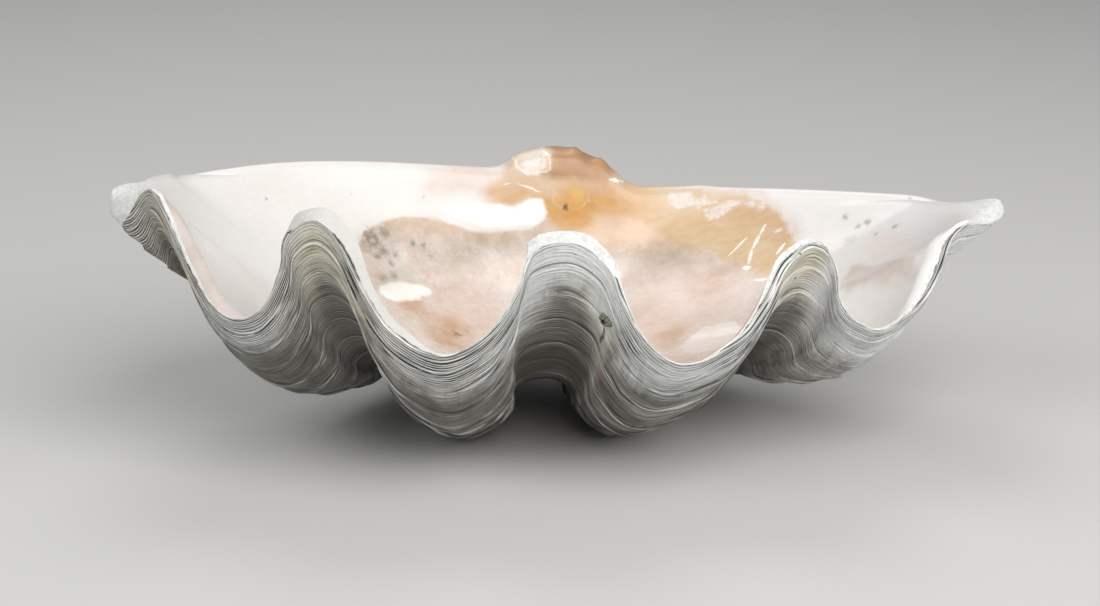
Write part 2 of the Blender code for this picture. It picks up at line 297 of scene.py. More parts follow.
def lipProfile(margin, shape, cut, share):
    front = frontPart(shape)[:, None]
    height = shape[:, 2] + lip["heightSlope"] * shape[:, 0]
    crest = smoothStep(lip["ribHeight"], lip["crestHeight"], height)[:, None]
    corner = smoothStep(lip["cornerAt"], lip["cornerEnd"], np.abs(shape[:, 0]))[:, None]
    hinge = np.exp(-((shape[:, 0] - lip["hingeX"]) / lip["hingeHalf"]) ** 2)[:, None] * (1.0 - front)
    younger, older = growBack(shape, cut + nudge), growBack(shape, cut - nudge)
    across = unit(outward(younger, margin, older) * front + np.array([0.0, -1.0, 0.0]) * (1.0 - front))
    along = unit(older - younger) * front + np.array([0.0, 0.0, 1.0]) * (1.0 - front)
    thick = (lip["rib"] + (lip["crest"] - lip["rib"]) * crest) * front + lip["back"] * (1.0 - front)
    thick = thick + (lip["corner"] - thick) * corner + (lip["hinge"] - lip["back"]) * hinge
    sharp = front * (1.0 - corner)  # 1 where the lip rises to a sharp inner edge, 0 where it is a round crown
    edge = margin + across * thick * share[:, None]
    edge[:, 2] += lip["rise"] * (crest * front)[:, 0]
    for _ in range(lip["cornerPasses"]):
        level = 0.5 * (np.roll(edge, -1, 0) + np.roll(edge, 1, 0))
        edge += (level - edge) * lip["cornerSoftness"] * corner
    edge += along * lip["edgeRise"] * sharp * crest
    proud = lip["crownBack"] * (1.0 - front)
    proud = proud + (np.where(shape[:, :1] < 0.0, lip["crownBlunt"], lip["crownFin"]) - proud) * corner
    return edge, along, proud, sharp


def straightBreaks(seed, length):  # 0 to 1 round the margin, in straight pieces of about this length
    rng = np.random.default_rng(seed)
    corners = np.cumsum(rng.uniform(0.35, 1.65, int(loopLength / length))) * length
    return np.interp(fan, corners, rng.random(len(corners)))


# The hollow, from the lip's inner edge down to its lowest point.
hollow = {
    "bowl": (-0.005, -0.168, -0.116), "bowlTurn": 0.95, "rings": 44,
    "crestLine": 0.045, "crestSlope": -0.085, "foldsFilled": 0.62, "wallLeftAt": 0.25,
    "softFrom": 0.2, "softTo": 0.9, "softness": 0.34,
    "sideAt": 0.24, "sideEnd": 0.36, "sideShare": 0.8,
    "bevelTo": 0.16,  # how far in the hollow takes up the worn edge's thickness
    "wallPower": 1.9, "hingeWallPower": 2.4, "hingeWallHalf": 0.13,
    "depths": (0.004, 0.30),  # metres past the lip that its first ring and its lowest point count as
}


def hollowRings(edge):
    bowl = np.array(hollow["bowl"])
    front = frontPart(edge)
    nearHinge = np.exp(-(edge[:, 0] / hollow["hingeWallHalf"]) ** 2) * (1.0 - front)
    power = hollow["wallPower"] + hollow["hingeWallPower"] * nearHinge
    crestLine = hollow["crestLine"] + hollow["crestSlope"] * edge[:, 0]
    trough = np.minimum(edge[:, 2] - crestLine, 0.0) * front
    middle = 1.0 - hollow["sideShare"] * smoothStep(hollow["sideAt"], hollow["sideEnd"], np.abs(edge[:, 0]))
    rings = []
    for step in range(1, hollow["rings"]):
        inPart = step / hollow["rings"]
        filled = edge.copy()
        filled[:, 2] -= trough * smoothStep(0.0, hollow["foldsFilled"], inPart)
        grown = growBack(filled, hollow["bowlTurn"] * inPart)
        straight = bowl + (edge - bowl) * (1.0 - inPart)
        straight[:, 2] = bowl[2] + (edge[:, 2] - trough - bowl[2]) * (1.0 - inPart) ** power
        follow = (front * middle * (1.0 - smoothStep(hollow["wallLeftAt"], 1.0, inPart)))[:, None]
        ring = grown * follow + straight * (1.0 - follow)
        rings.append(soften(ring, hollow["softness"] * smoothStep(hollow["softFrom"], hollow["softTo"], inPart)))
    return rings


def columnPlaces():  # where along the loop the mesh has its columns: a little closer together at the hinge
    places = []
    frontSpans, backSpans = len(growth["frontMargin"]) - 1, len(growth["backMargin"]) + 1
    for span in range(frontSpans):
        places += [growth["frontSteps"] * (span + k / mesh["frontColumns"]) for k in range(mesh["frontColumns"])]
    start = frontSpans * growth["frontSteps"]
    for span in range(backSpans):
        count = mesh["hingeColumns"] if mesh["hingeFrom"] <= span < mesh["hingeTo"] else mesh["backColumns"]
        places += [start + growth["backSteps"] * (span + k / count) for k in range(count)]
    return np.array(places)


def resample(grid, places):  # cubic interpolation of every ring at these places along it
    low = np.floor(places).astype(int)
    t = (places - low).reshape((1, -1) + (1,) * (grid.ndim - 2))
    a, b, c, d = (grid[:, (low + k) % grid.shape[1]] for k in (-1, 0, 1, 2))
    return 0.5 * (2 * b + (c - a) * t + (2 * a - 5 * b + 4 * c - d) * t ** 2 + (3 * b - a - 3 * c + d) * t ** 3)


mesh = {
    "frontColumns": 7, "backColumns": 4, "hingeColumns": 8,
    "hingeFrom": 6, "hingeTo": 13,  # back spans with closer columns
    "growthMetres": 0.42,  # length that one radian of growth takes on a rib
}

print("growing the outside")
loop = marginLoop()
loopCount = len(loop)
fanStep = np.linalg.norm(np.roll(loop, -1, 0) - loop, axis=1)
fan = np.concatenate([[0.0], np.cumsum(fanStep)[:-1]])  # metres round the margin
loopLength = fanStep.sum()
fanAngle = fan / loopLength * 2.0 * math.pi
roundX, roundY = np.cos(fanAngle) * loopLength / (2 * math.pi), np.sin(fanAngle) * loopLength / (2 * math.pi)
onFront = frontPart(loop)
ragged = Waves(*lip["raggedWaves"])
cut = alongMargin(lip["chips"], loop)[0] * onFront
cut = cut + lip["raggedness"] * (lip["raggedMiddle"] + ragged(roundX, roundY)) * onFront
bareAt = alongMargin(lip["bareFrom"], loop)[0] * onFront - lip["bareBack"] * (1.0 - onFront)
nicked = onFront * (0.25 + 0.75 * smoothStep(*lip["nickedWhere"], bareAt))
cut = cut + lip["breaks"] * straightBreaks(3, lip["breakLength"]) ** 2 * nicked
cut = np.maximum(cut, 0.0)

slowDrift, quickDrift, ledgeUneven, smallUneven = (
    Waves(lamellae["seed"] + i, *lengths, 3) for i, lengths in enumerate(lamellae["waves"]))
relief = lamellae["backShare"] + (1.0 - lamellae["backShare"]) * onFront
onCrest = onFront * crestAt(loop)
outerRings, outerTurns, ledgeShadingRings = [], [], []
ledgeLeast, ledgeMore = lamellae["ledgeSpread"]
for turn, ledge, small, mark in lamellaRings(lamellae["seed"]):
    deep = smoothStep(0.0, lamellae["calmTurn"], turn)
    grownBy = turn * mesh["growthMetres"]
    quick = lamellae["quickDrift"] * quickDrift(roundX, roundY, grownBy * 2.0)
    wander = slowDrift(roundX, roundY, grownBy) + quick
    here = turn + lamellae["drift"] * deep * wander * (1.0 + turn)
    here = here + cut * (1.0 - smoothStep(0.0, lip["cutDepth"], turn))
    points, later, earlier = (growBack(loop, here + step) for step in (0.0, -nudge, nudge))
    normal = outward(later, points, earlier)
    spread = np.linalg.norm(later - earlier, axis=1) / (2.0 * nudge) / mesh["growthMetres"]
    room = np.clip(spread, lamellae["leastRoom"], 1.0)  # low relief where growth went slowly, as at the corners
    uneven = smallUneven(roundX, roundY, grownBy * 4.0)
    high = ledge * onFront * (ledgeLeast + ledgeMore * ledgeUneven(roundX, roundY, grownBy))
    high = high + small * relief * varied(lamellae["smallSpread"], uneven)
    high = (high + lamellae["swell"] * deep * wander * onFront) * room
    high = high * (1.0 - lamellae["valleyCalm"] * onCrest * smoothStep(*lamellae["valleyTurn"], turn))
    groove = lamellae["groove"] * onCrest * smoothStep(lamellae["grooveFrom"], lamellae["grooveTo"], turn)
    high = high - groove * math.exp(-turn / lamellae["grooveFade"])
    outerRings.append(points + normal * high[:, None])
    outerTurns.append(here)
    # Strength of the painted highlight at a crest ring and of the painted shade at a foot ring
    ledgeShadingRings.append(mark * varied(lamellae["markSpread"], uneven) * relief * room)

print("growing the lip and the hollow")
marginEdge = outerRings[0]
share = lipShare(loop) * (1.0 + lip["thinBreaks"] * (straightBreaks(4, lip["thinBreakLength"]) - 0.5) * nicked)
fullEdge = lipProfile(marginEdge, loop, cut, np.ones(loopCount))[0]
innerEdge, along, proud, sharp = lipProfile(marginEdge, loop, cut, share)
lipThick = np.linalg.norm(innerEdge - marginEdge, axis=1)
crumb = Waves(*lip["crumbWaves"])
sheetWander = Waves(*lip["sheetWaves"])(roundX, roundY)
lipRings = []
for place in lip["across"]:
    level = marginEdge + (innerEdge - marginEdge) * place
    crown = proud * (math.sin(math.pi * place) ** lip["crownPower"])
    bulge = sharp * lip["edgeRise"] * (1.0 - (1.0 - place) ** lip["bulgePower"] - place) * lip["bulge"]
    layered = smoothStep(0.0, lip["layersFade"], bareAt - place) * onFront
    sheet = (place * lip["sheets"] + lip["sheetWander"] * sheetWander) % 1.0
    rough = lip["sheetStep"] * (sheet - 0.5) * layered
    rough = rough + lip["crumbs"] * crumb(roundX, roundY, place * 0.02) * onFront * (1.0 - 0.6 * layered)
    lipRings.append(level + along * (crown + bulge + (rough * math.sin(math.pi * place) ** 0.4)[:, None]))
lipRings.append(innerEdge)
insideRings = hollowRings(fullEdge)
for step, ring in enumerate(insideRings):
    ring += (innerEdge - fullEdge) * (1.0 - smoothStep(0.0, hollow["bevelTo"], (step + 1) / hollow["rings"]))

places = columnPlaces()
outerGrid = resample(np.array(outerRings), places)
innerGrid = resample(np.array(lipRings + insideRings), places)
outerTurn = resample(np.array(outerTurns), places)
ledgeShadingGrid = resample(np.array(ledgeShadingRings), places)
roundGrid = resample(np.stack([roundX, roundY], 1)[None], places)[0]
loopGrid = resample(loop[None], places)[0]
thickGrid = resample(lipThick[None], places)[0]
bareGrid = resample(bareAt[None], places)[0]

# Small changes of the worn rim, on the resting valve, in millimetres: place, reach, shift.
sculpt = (
    ((54, 156, 186), 8, (0, 0, 6)),  # the step on the right of the hinge's hump
    ((32.5, 150, 201), 7, (0, 0, 3.5)), ((32.5, 162, 201), 7, (0, 0, 3.5)),
    ((42, 150, 198), 5, (0, 0, -4)), ((42, 158, 198), 5, (0, 0, -4)),
    ((42, 166, 198), 5, (0, 0, -4)),
    ((142, 146, 168), 12, (0, 0, 2)),
    ((-362, -30, 224), 16, (-4, 0, 3)),  # blunt left corner
    ((366, -10, 185), 26, (3, 0, 10)), ((352, -10, 196), 16, (10, -3, 0)),
    ((328, 50, 183), 18, (0, 0, -2)),  # the right corner rises to a thin fin
)


def sculpted(points):
    for at, reach, shift in sculpt:
        away = np.linalg.norm(points - np.array(at) / 1000.0, axis=-1) / (reach / 1000.0)
        points = points + np.exp(-away ** 2)[..., None] * (np.array(shift) / 1000.0)
    return points


def shiftedRim(points, near):  # the rim as it wore, fading away from it
    sideways, up = alongMargin(lip["rimShifts"], loopGrid, 1000.0)
    shift = np.stack([sideways, np.zeros(len(loopGrid)), up], 1) * frontPart(loopGrid)[:, None]
    points = points + shift * near[..., None]
    low, high, top = lip["flatTop"]
    within = (points[..., 0] > low) & (points[..., 0] < high) & (points[..., 1] < lip["flatFrontOf"])
    points[..., 2] -= np.where(within, np.maximum(points[..., 2] - top, 0.0) * lip["flattened"], 0.0)
    return points


innerPart = np.clip((np.arange(len(innerGrid)) - len(lip["across"])) / hollow["rings"], 0.0, 1.0)[:, None]
outerGrid = shiftedRim(sculpted(toRest(outerGrid)), 1.0 - smoothStep(0.0, lip["shiftTurn"], outerTurn))
columns = len(places)
innerNear = 1.0 - smoothStep(0.0, lip["shiftInPart"], innerPart) * np.ones(columns)
innerGrid = shiftedRim(sculpted(toRest(innerGrid)), innerNear)
print("rings outside", len(outerGrid), "inside", len(innerGrid), "columns", columns)

# What shows in the hollow, at its place on the resting valve, in millimetres. The outlines on the back wall are
# x and z, those on the floor x and y. A blob is x, y, z and its radii.
stains = {
    "amber": {
        "wall": (
            ((-54, 168), (-48, 160), (-30, 157), (-12, 163), (-2, 153), (6, 143), (18, 133), (50, 121),
             (77, 116.5), (103, 116.5), (121, 122), (153, 117), (176, 114), (191, 110), (206, 118), (217, 133),
             (211, 147), (201, 157), (191, 163), (160, 163), (132, 166), (96, 169), (80, 178), (74, 190),
             (55, 215), (-20, 215), (-30, 190), (-40, 178)),
        ),
    },
    "cloud": {
        "wall": (
            ((45, 147), (55, 147), (69, 145), (90, 139), (100, 135), (109, 128), (122, 121), (103, 112),
             (77, 112), (50, 116), (30, 126)),
        ),
    },
    "deep": {
        "wall": (
            ((-54, 166), (-48, 160), (-31, 158), (-12, 164), (-1, 154), (6, 144), (25, 139), (41, 139),
             (45, 149), (69, 149), (91, 148), (106, 156), (93, 164), (70, 168), (42, 171), (22, 174), (7, 164),
             (-6, 169), (-22, 175), (-39, 173)),
        ),
    },
    "greyPeach": {
        "wall": (
            ((-104, 172), (-73, 172), (-54, 170), (-38, 174), (-20, 178), (-10, 182), (-24, 197), (-38, 192),
             (-73, 195), (-104, 190)),
            ((76, 168), (100, 166), (132, 164), (160, 162), (190, 160), (196, 170), (140, 176), (90, 178)),
        ),
    },
    "floorTint": {
        "wall": (
            ((-166, 140), (-160, 148), (-147, 152), (-120, 155), (-93, 148), (-75, 140), (-57, 134), (-35, 134),
             (-12, 137), (1, 143), (14, 146), (51, 152), (88, 147), (100, 138), (121, 124), (153, 118),
             (176, 115), (192, 108), (230, 118), (262, 138), (275, 150), (287, 146), (290, 120), (260, 80),
             (200, 20), (-160, 20), (-190, 90), (-178, 120)),
        ),
        "floor": (
            ((-166, 70), (218, 70), (212, 20), (194, -40), (172, -100), (158, -160), (140, -190), (80, -205),
             (40, -190), (22, -150), (4, -130), (-18, -128), (-40, -150), (-62, -190), (-100, -205),
             (-128, -180), (-142, -130), (-150, -70), (-158, -10)),
        ),
    },
    "beige": {
        "floor": (
            ((253, 12), (268, -40), (282, -78), (279, -92), (262, -67.5), (245, -44.5), (232, -40), (238, -10)),
        ),
    },
    "paleScarAndHighlight": {
        "wall": (
            ((-25, 187), (-15, 196), (3, 200), (6, 193), (-2, 183), (-12, 180), (-21, 184)),
        ),
        "floor": (
            ((99, -14), (110, 2), (128, 14), (150, 6), (152, -30), (122, -60), (103, -44)),
            ((266, 30), (281, 36), (296, 13), (294, -74.5), (288, -85), (272, -60), (264, -8)),
        ),
        # The outlines are pale scars; the blobs at the right foot of the hinge's hump are a painted highlight.
        "blobs": (
            (129, 143, 156, 15, 20, 7), (120, 143, 157, 8, 20, 6), (152, 131, 149, 10, 20, 8),
            (145, 131, 155, 8, 20, 4), (189, 124, 158, 12, 20, 5), (203, 100, 142, 5, 12, 5),
        ),
    },
    "brightPatch": {
        "wall": (
            ((-24, 154), (-12, 161), (-4, 163), (2, 158), (2, 147), (-8, 139), (-40, 137), (-70, 145),
             (-95, 157), (-75, 160), (-50, 157)),
        ),
        "floor": (
            ((-152, 52), (-137, 66), (-114, 78), (-102, 76), (-116, 58), (-137, 42), (-148, 41)),
        ),
    },
    "rust": {
        "floor": (
            ((-108, 33), (-95, 52), (-80, 50), (-73, 28), (-82, 5), (-103, -5), (-111, 15)),
            ((85, 10), (94, 24), (104, 30), (109, 22), (100, 2), (90, -12)),
        ),
        "blobs": (
            (-120, 50, 92, 14, 14, 20), (58, 156, 180, 12, 30, 10), (46, 142, 168, 10, 20, 4),
            (188, 116, 152, 17, 20, 10), (207, 94, 138, 10, 20, 12), (140, 80, 98, 10, 12, 6),
        ),
    },
    "smudge": {
        "blobs": (
            (-67, 118, 121, 34, 30, 10), (-40, 122, 121, 14, 30, 10), (-10, 124, 124, 16, 30, 8),
            (85, 122, 113, 34, 30, 6), (108, 118, 114, 14, 30, 7), (-140, 76, 114, 14, 20, 5),
            (-104, 108, 130, 10, 20, 8), (-148, 90, 136, 18, 20, 14),
        ),
    },
    "peach": {
        "wall": (
            ((-6, 178), (4, 186), (7, 197), (6, 225), (60, 225), (68, 186), (62, 174), (30, 178)),
            ((-8, 186), (0, 188), (2, 196), (-5, 194)),
        ),
    },
    "pink": {
        "blobs": (
            (120, 60, 92, 50, 50, 30), (80, 40, 80, 30, 40, 30), (-80, 60, 85, 30, 40, 30),
        ),
    },
}
tints = {  # warm, cool and bleached areas of the outside, as blobs in millimetres
    "olive": (
        (-205, -165, 160, 45, 60, 75), (-335, -60, 175, 55, 110, 80),
        (2, -185, 130, 20, 40, 60), (170, -165, 190, 35, 40, 30),
        (-115, -200, 100, 16, 50, 90),
    ),
    "bleached": (
        (-48, -190, 170, 16, 35, 50), (-12, -207, 205, 36, 30, 22),
        (12, -205, 175, 18, 30, 40), (70, -196, 112, 55, 30, 20),
        (248, -118, 116, 62, 50, 40), (335, -40, 168, 40, 55, 34),
        (197, -150, 160, 14, 30, 40),
    ),
    "slate": (
        (-262, -150, 130, 50, 60, 60), (-92, -200, 110, 50, 60, 60),
        (80, -200, 110, 70, 70, 60), (270, -120, 110, 60, 70, 60),
        (-45, -200, 160, 20, 40, 60),
    ),
}
wallFrom, wallTo = 0.030, 0.060  # y where the back wall's outlines begin to count
offWall = 0.03  # metres that a place in front of the wall counts as outside them
fieldReach = 0.05  # metres from its border over which a stain's distance is kept


def insideOutline(u, v, outline):  # distance to an outline in a plane, positive inside it
    corners = np.array(outline) / 1000.0
    following = np.roll(corners, -1, 0)
    distance = np.full(u.shape, 1.0)
    crossings = np.zeros(u.shape, dtype=int)
    for (ax, ay), (bx, by) in zip(corners, following):
        span = (bx - ax) ** 2 + (by - ay) ** 2
        t = np.clip(((u - ax) * (bx - ax) + (v - ay) * (by - ay)) / span, 0.0, 1.0)
        distance = np.minimum(distance, np.hypot(u - ax - t * (bx - ax), v - ay - t * (by - ay)))
        if ay != by:
            crossings += ((ay > v) != (by > v)) & (u < ax + (v - ay) / (by - ay) * (bx - ax))
    return np.where(crossings % 2 == 1, distance, -distance)


def blobReach(points, at, radii):  # 0 in the middle of a blob, 1 on its surface
    x, y, z = np.moveaxis((points - at) / radii, -1, 0)
    return np.sqrt(x ** 2 + y ** 2 + z ** 2)


def stainField(points, shapes):  # metres inside the nearest edge of a stain, negative outside
    x, y, z = np.moveaxis(points, -1, 0)
    field = np.full(x.shape, -fieldReach)
    atWall = smoothStep(wallFrom, wallTo, y)
    for outline in shapes.get("wall", ()):
        field = np.maximum(field, insideOutline(x, z, outline) * atWall - offWall * (1.0 - atWall))
    for outline in shapes.get("floor", ()):
        field = np.maximum(field, insideOutline(x, y, outline))
    for blob in shapes.get("blobs", ()):
        at, radii = np.array(blob[:3]) / 1000.0, np.array(blob[3:]) / 1000.0
        field = np.maximum(field, (1.0 - blobReach(points, at, radii)) * min(radii))
    return np.clip(field, -fieldReach, fieldReach)


fields = {name: stainField(innerGrid, shapes) for name, shapes in stains.items()}
# The floor's tint has a soft edge away from the back wall
floorSoft = {"least": 0.15, "wallAt": 0.05, "reach": 0.03}
edgeOnly = floorSoft["least"] + (1.0 - floorSoft["least"]) * smoothStep(0.0, floorSoft["wallAt"], innerGrid[..., 1])
deepIn = smoothStep(0.0, floorSoft["reach"], np.abs(fields["floorTint"]))
fields["floorTint"] = fields["floorTint"] * (edgeOnly + (1.0 - edgeOnly) * deepIn)

# A worn bevel runs along the inside of the lip on two left flanks, in millimetres: place in x, width.
bevel = (
    (-345, 0), (-336, 12), (-318, 19), (-300, 25), (-282, 23), (-268, 12), (-255, 0), (-180, 0), (-165, 8),
    (-152, 15), (-140, 20), (-128, 14), (-116, 0),
)
bevelIn, bevelReach = 0.004, 0.02  # metres
inwardStep = np.linalg.norm(np.diff(innerGrid[len(lip["across"]):], axis=0), axis=-1)
pastEdge = np.concatenate([np.zeros((1, columns)), np.cumsum(inwardStep, axis=0)])
onBevel = alongMargin(bevel, loopGrid, 1000.0)[0] * frontPart(loopGrid) - bevelIn
bevelDepth = np.clip(onBevel - pastEdge, -bevelReach, bevelReach)
fields["bevel"] = np.concatenate([np.full((len(lip["across"]), columns), -bevelReach), bevelDepth])

# Raised and sunken detail of the hollow, in metres
details = {
    "unevenness": 0.0007, "waves": (41, 0.030, 0.160, 18, 3),  # seed, shortest, longest, number, dimensions
    "bumps": (  # place, radii, height, form
        ((0.020, 0.137, 0.154), (0.006, 0.012, 0.005), -0.0040, "dome"),  # ligament pit
        ((0.026, 0.139, 0.160), (0.019, 0.020, 0.012), 0.0020, "ring"),
        ((-0.010, 0.148, 0.190), (0.017, 0.020, 0.011), 0.0012, "ring"),  # oval scar
        ((-0.154, 0.092, 0.142), (0.006, 0.010, 0.005), -0.0020, "dome"),
        ((-0.095, 0.028, 0.078), (0.022, 0.028, 0.020), -0.0016, "dome"),
        ((0.128, 0.110, 0.125), (0.030, 0.030, 0.012), 0.0015, "dome"),
        ((0.192, 0.104, 0.146), (0.030, 0.040, 0.020), -0.0020, "dome"),
    ),
    "dome": (0.0, 0.8), "ring": (1.0, 0.22),  # where the form is highest, in radii, and how wide it is
    "floorTint": (-0.0009, 0.003), "brightPatch": (0.0005, 0.002),  # step at its edge, and half the step's width
    "fadeRings": 5,  # rings over which it begins behind the lip
}


def detailHeight(points):
    height = details["unevenness"] * Waves(*details["waves"])(*np.moveaxis(points, -1, 0))
    for at, radii, high, form in details["bumps"]:
        reach = blobReach(points, at, radii)
        middle, width = details[form]
        height = height + high * np.exp(-((reach - middle) / width) ** 2)
    for name in ("floorTint", "brightPatch"):
        step, half = details[name]
        height = height + step * smoothStep(-half, half, fields[name])
    return height


wholeGrid = np.concatenate([outerGrid[::-1], innerGrid])
around = np.roll(wholeGrid, -1, 1) - np.roll(wholeGrid, 1, 1)
innerNormals = unit(np.cross(np.gradient(wholeGrid, axis=0), around))[len(outerGrid):]
if innerNormals[-6:, :, 2].mean() < 0.0:
    innerNormals = -innerNormals
lipEnd = len(lip["across"])
fadeIn = smoothStep(lipEnd, lipEnd + details["fadeRings"], np.arange(len(innerGrid)))[:, None]
innerGrid = innerGrid + innerNormals * (detailHeight(innerGrid) * fadeIn)[..., None]
wholeGrid = np.concatenate([outerGrid[::-1], innerGrid])
wholeGrid[..., 2] = np.maximum(wholeGrid[..., 2], 0.0)  # the ribs' backs are worn flat where they rest

rows = len(wholeGrid)
beakCap = wholeGrid[0].mean(axis=0)
bowlLowest = toRest(np.array(hollow["bowl"]))
bowlLowest[2] += detailHeight(innerGrid)[-1].mean()
vertices = np.concatenate([wholeGrid.reshape(-1, 3), [beakCap, bowlLowest]])
near = np.arange(columns)
following = (near + 1) % columns
quads = []
for row in range(rows - 1):
    here, there = row * columns, (row + 1) * columns
    quads.append(np.stack([here + near, here + following, there + following, there + near], 1))
last = (rows - 1) * columns
faces = np.concatenate(quads).tolist()
faces += [(rows * columns, int(j), int(i)) for i, j in zip(near, following)]
faces += [(rows * columns + 1, last + int(i), last + int(j)) for i, j in zip(near, following)]
shellMesh = bpy.data.meshes.new("shellValve")
shellMesh.from_pydata(vertices.tolist(), [], faces)
shellMesh.validate()
tris = vertices[np.array([f[:3] for f in faces])]
if np.einsum("ij,ij->i", tris[:, 0], np.cross(tris[:, 1], tris[:, 2])).sum() < 0.0:
    shellMesh.flip_normals()
outsideRows, lipRows = len(outerGrid) - 1, len(lip["across"]) + 1
slots = np.zeros(len(faces), dtype=np.int32)
slots[outsideRows * columns:(rows - 1) * columns] = 1
atFront = frontPart(loopGrid) > 0.5
slots[outsideRows * columns:(outsideRows + lipRows) * columns] = np.tile(np.where(atFront, 0, 1), lipRows)
slots[-columns:] = 1
shellMesh.polygons.foreach_set("material_index", slots)
shellMesh.polygons.foreach_set("use_smooth", np.ones(len(faces), dtype=bool))
ends = np.zeros(2 * len(shellMesh.edges), dtype=np.int32)
shellMesh.edges.foreach_get("vertices", ends)
endRow, endColumn = np.divmod(ends.reshape(-1, 2), columns)
crisp = atFront & (np.abs(loopGrid[:, 0]) < lip["crispTo"])
onEdge = (endRow[:, 0] == endRow[:, 1]) & crisp[endColumn[:, 0]]
onEdge &= (endRow[:, 0] == outsideRows) | (endRow[:, 0] == outsideRows + lipRows)
shellMesh.attributes.new("sharp_edge", "BOOLEAN", "EDGE").data.foreach_set("value", onEdge)


def addField(name, outer, inner):  # one value for each vertex: outside rows, inside rows, then the two poles
    values = np.concatenate([outer[::-1].ravel(), inner.ravel(), [outer[-1].mean(), inner[-1].mean()]])
    shellMesh.attributes.new(name, "FLOAT", "POINT").data.foreach_set("value", values.astype(np.float32))


outerShape, innerShape = outerGrid.shape[:2], innerGrid.shape[:2]
grown = outerTurn * mesh["growthMetres"]
acrossLip = np.array(lip["across"] + (1.0,))[:, None]
pastLip = np.linspace(*hollow["depths"], len(insideRings))[:, None]
inwards = np.concatenate([acrossLip * thickGrid, thickGrid + pastLip])
place = np.concatenate([
    np.concatenate([np.broadcast_to(roundGrid, outerShape + (2,)), grown[..., None]], -1)[::-1].reshape(-1, 3),
    np.concatenate([np.broadcast_to(roundGrid, innerShape + (2,)), -inwards[..., None]], -1).reshape(-1, 3),
    [[0.0, 0.0, grown[-1].mean()], [0.0, 0.0, -hollow["depths"][1]]],
])
shellMesh.attributes.new("growthPlace", "FLOAT_VECTOR", "POINT").data.foreach_set(
    "vector", place.astype(np.float32).ravel())
wearAndShading = {  # how the outside aged, with painted shade on older growth, the undersides and the left side and painted light on young flanks and the right side; places in x and metres of growth from the margin
    "oldBetween": (0.006, 0.088), "freshReach": 0.20, "flankFreshAndPaintedLight": 0.90, "rightFreshAndPaintedLight": 0.95,
    "rightBetween": (0.10, 0.30), "leftBetween": (0.29, 0.345), "leftPaintedShade": 0.45, "backAge": 0.40,
    "beakBetween": (0.45, 0.80), "beakWear": 0.45, "valleyEnd": (0.9, 1.8), "valleyFade": 0.6, "backRim": 0.25,
}
crestShare = crestAt(loopGrid)
frontShare = frontPart(loopGrid)
# Darker between the ribs' crests away from the margin: partly grime, partly painted shade in the grooves.
valleyDirtAndShade = crestShare * frontShare * smoothStep(*lamellae["valleyTurn"], outerTurn)
valleyDirtAndShade = valleyDirtAndShade * (1.0 - wearAndShading["valleyFade"] * smoothStep(*wearAndShading["valleyEnd"], outerTurn))
flankShare = 4.0 * crestShare * (1.0 - crestShare) * frontShare
rightShare = smoothStep(*wearAndShading["rightBetween"], loopGrid[:, 0]) * frontShare
leftShare = smoothStep(*wearAndShading["leftBetween"], -loopGrid[:, 0]) * frontShare
# Painted light, partly fresher shell: young shell on the flanks and on the right side is kept pale, while the left
# side gets painted shade through the old colour.
freshAndPaintedLight = np.maximum(wearAndShading["flankFreshAndPaintedLight"] * flankShare, wearAndShading["rightFreshAndPaintedLight"] * rightShare)
freshAndPaintedLight = freshAndPaintedLight * np.exp(-(grown / wearAndShading["freshReach"]) ** 2)
backWear = wearAndShading["backAge"] + (1.0 - wearAndShading["backAge"]) * frontShare
backWear = backWear * (1.0 - wearAndShading["beakWear"] * smoothStep(*wearAndShading["beakBetween"], grown))
# Older growth and the ribs' undersides are darker, partly dirt and partly painted shade.
ageDirtAndShade = smoothStep(*wearAndShading["oldBetween"], grown) * (1.0 - freshAndPaintedLight) * backWear + wearAndShading["leftPaintedShade"] * leftShare
addField("ageDirtAndShade", np.clip(ageDirtAndShade, 0.0, 1.0), np.zeros(innerShape))
addField("crest", crestShare * frontShare * np.ones(outerShape), np.zeros(innerShape))
# Painted highlight along the ledges' crests and painted shade at their feet
addField("ledgeHighlightAndShade", ledgeShadingGrid, np.zeros(innerShape))
addField("valleyDirtAndShade", valleyDirtAndShade, np.zeros(innerShape))
addField("bareShell", -bareGrid * thickGrid - grown, inwards - bareGrid * thickGrid)  # metres past its border
for name in tints:
    addField(name, stainField(outerGrid, {"blobs": tints[name]}), np.full(innerShape, -fieldReach))
rimShare = 1.0 - smoothStep(lipRows - 1, lipRows + 2, np.arange(innerShape[0]))[:, None] * np.ones(columns)
addField("rim", np.zeros(outerShape), rimShare * (wearAndShading["backRim"] + (1.0 - wearAndShading["backRim"]) * frontShare))
for name in fields:
    addField(name, np.zeros(outerShape), fields[name])


def addPiece(name, data):
    piece = bpy.data.objects.new(name, data)
    bpy.context.scene.collection.objects.link(piece)
    return piece


shellValve = addPiece("shellValve", shellMesh)
print("valve mesh", len(vertices), "vertices", 2 * len(faces) - 2 * columns, "triangles")


# Shader building blocks
def rgb(red, green, blue):  # screen colour 0 to 255 as scene light
    def linear(c):
        c = c / 255.0
        return c / 12.92 if c <= 0.04045 else ((c + 0.055) / 1.055) ** 2.4
    return (linear(red), linear(green), linear(blue), 1.0)


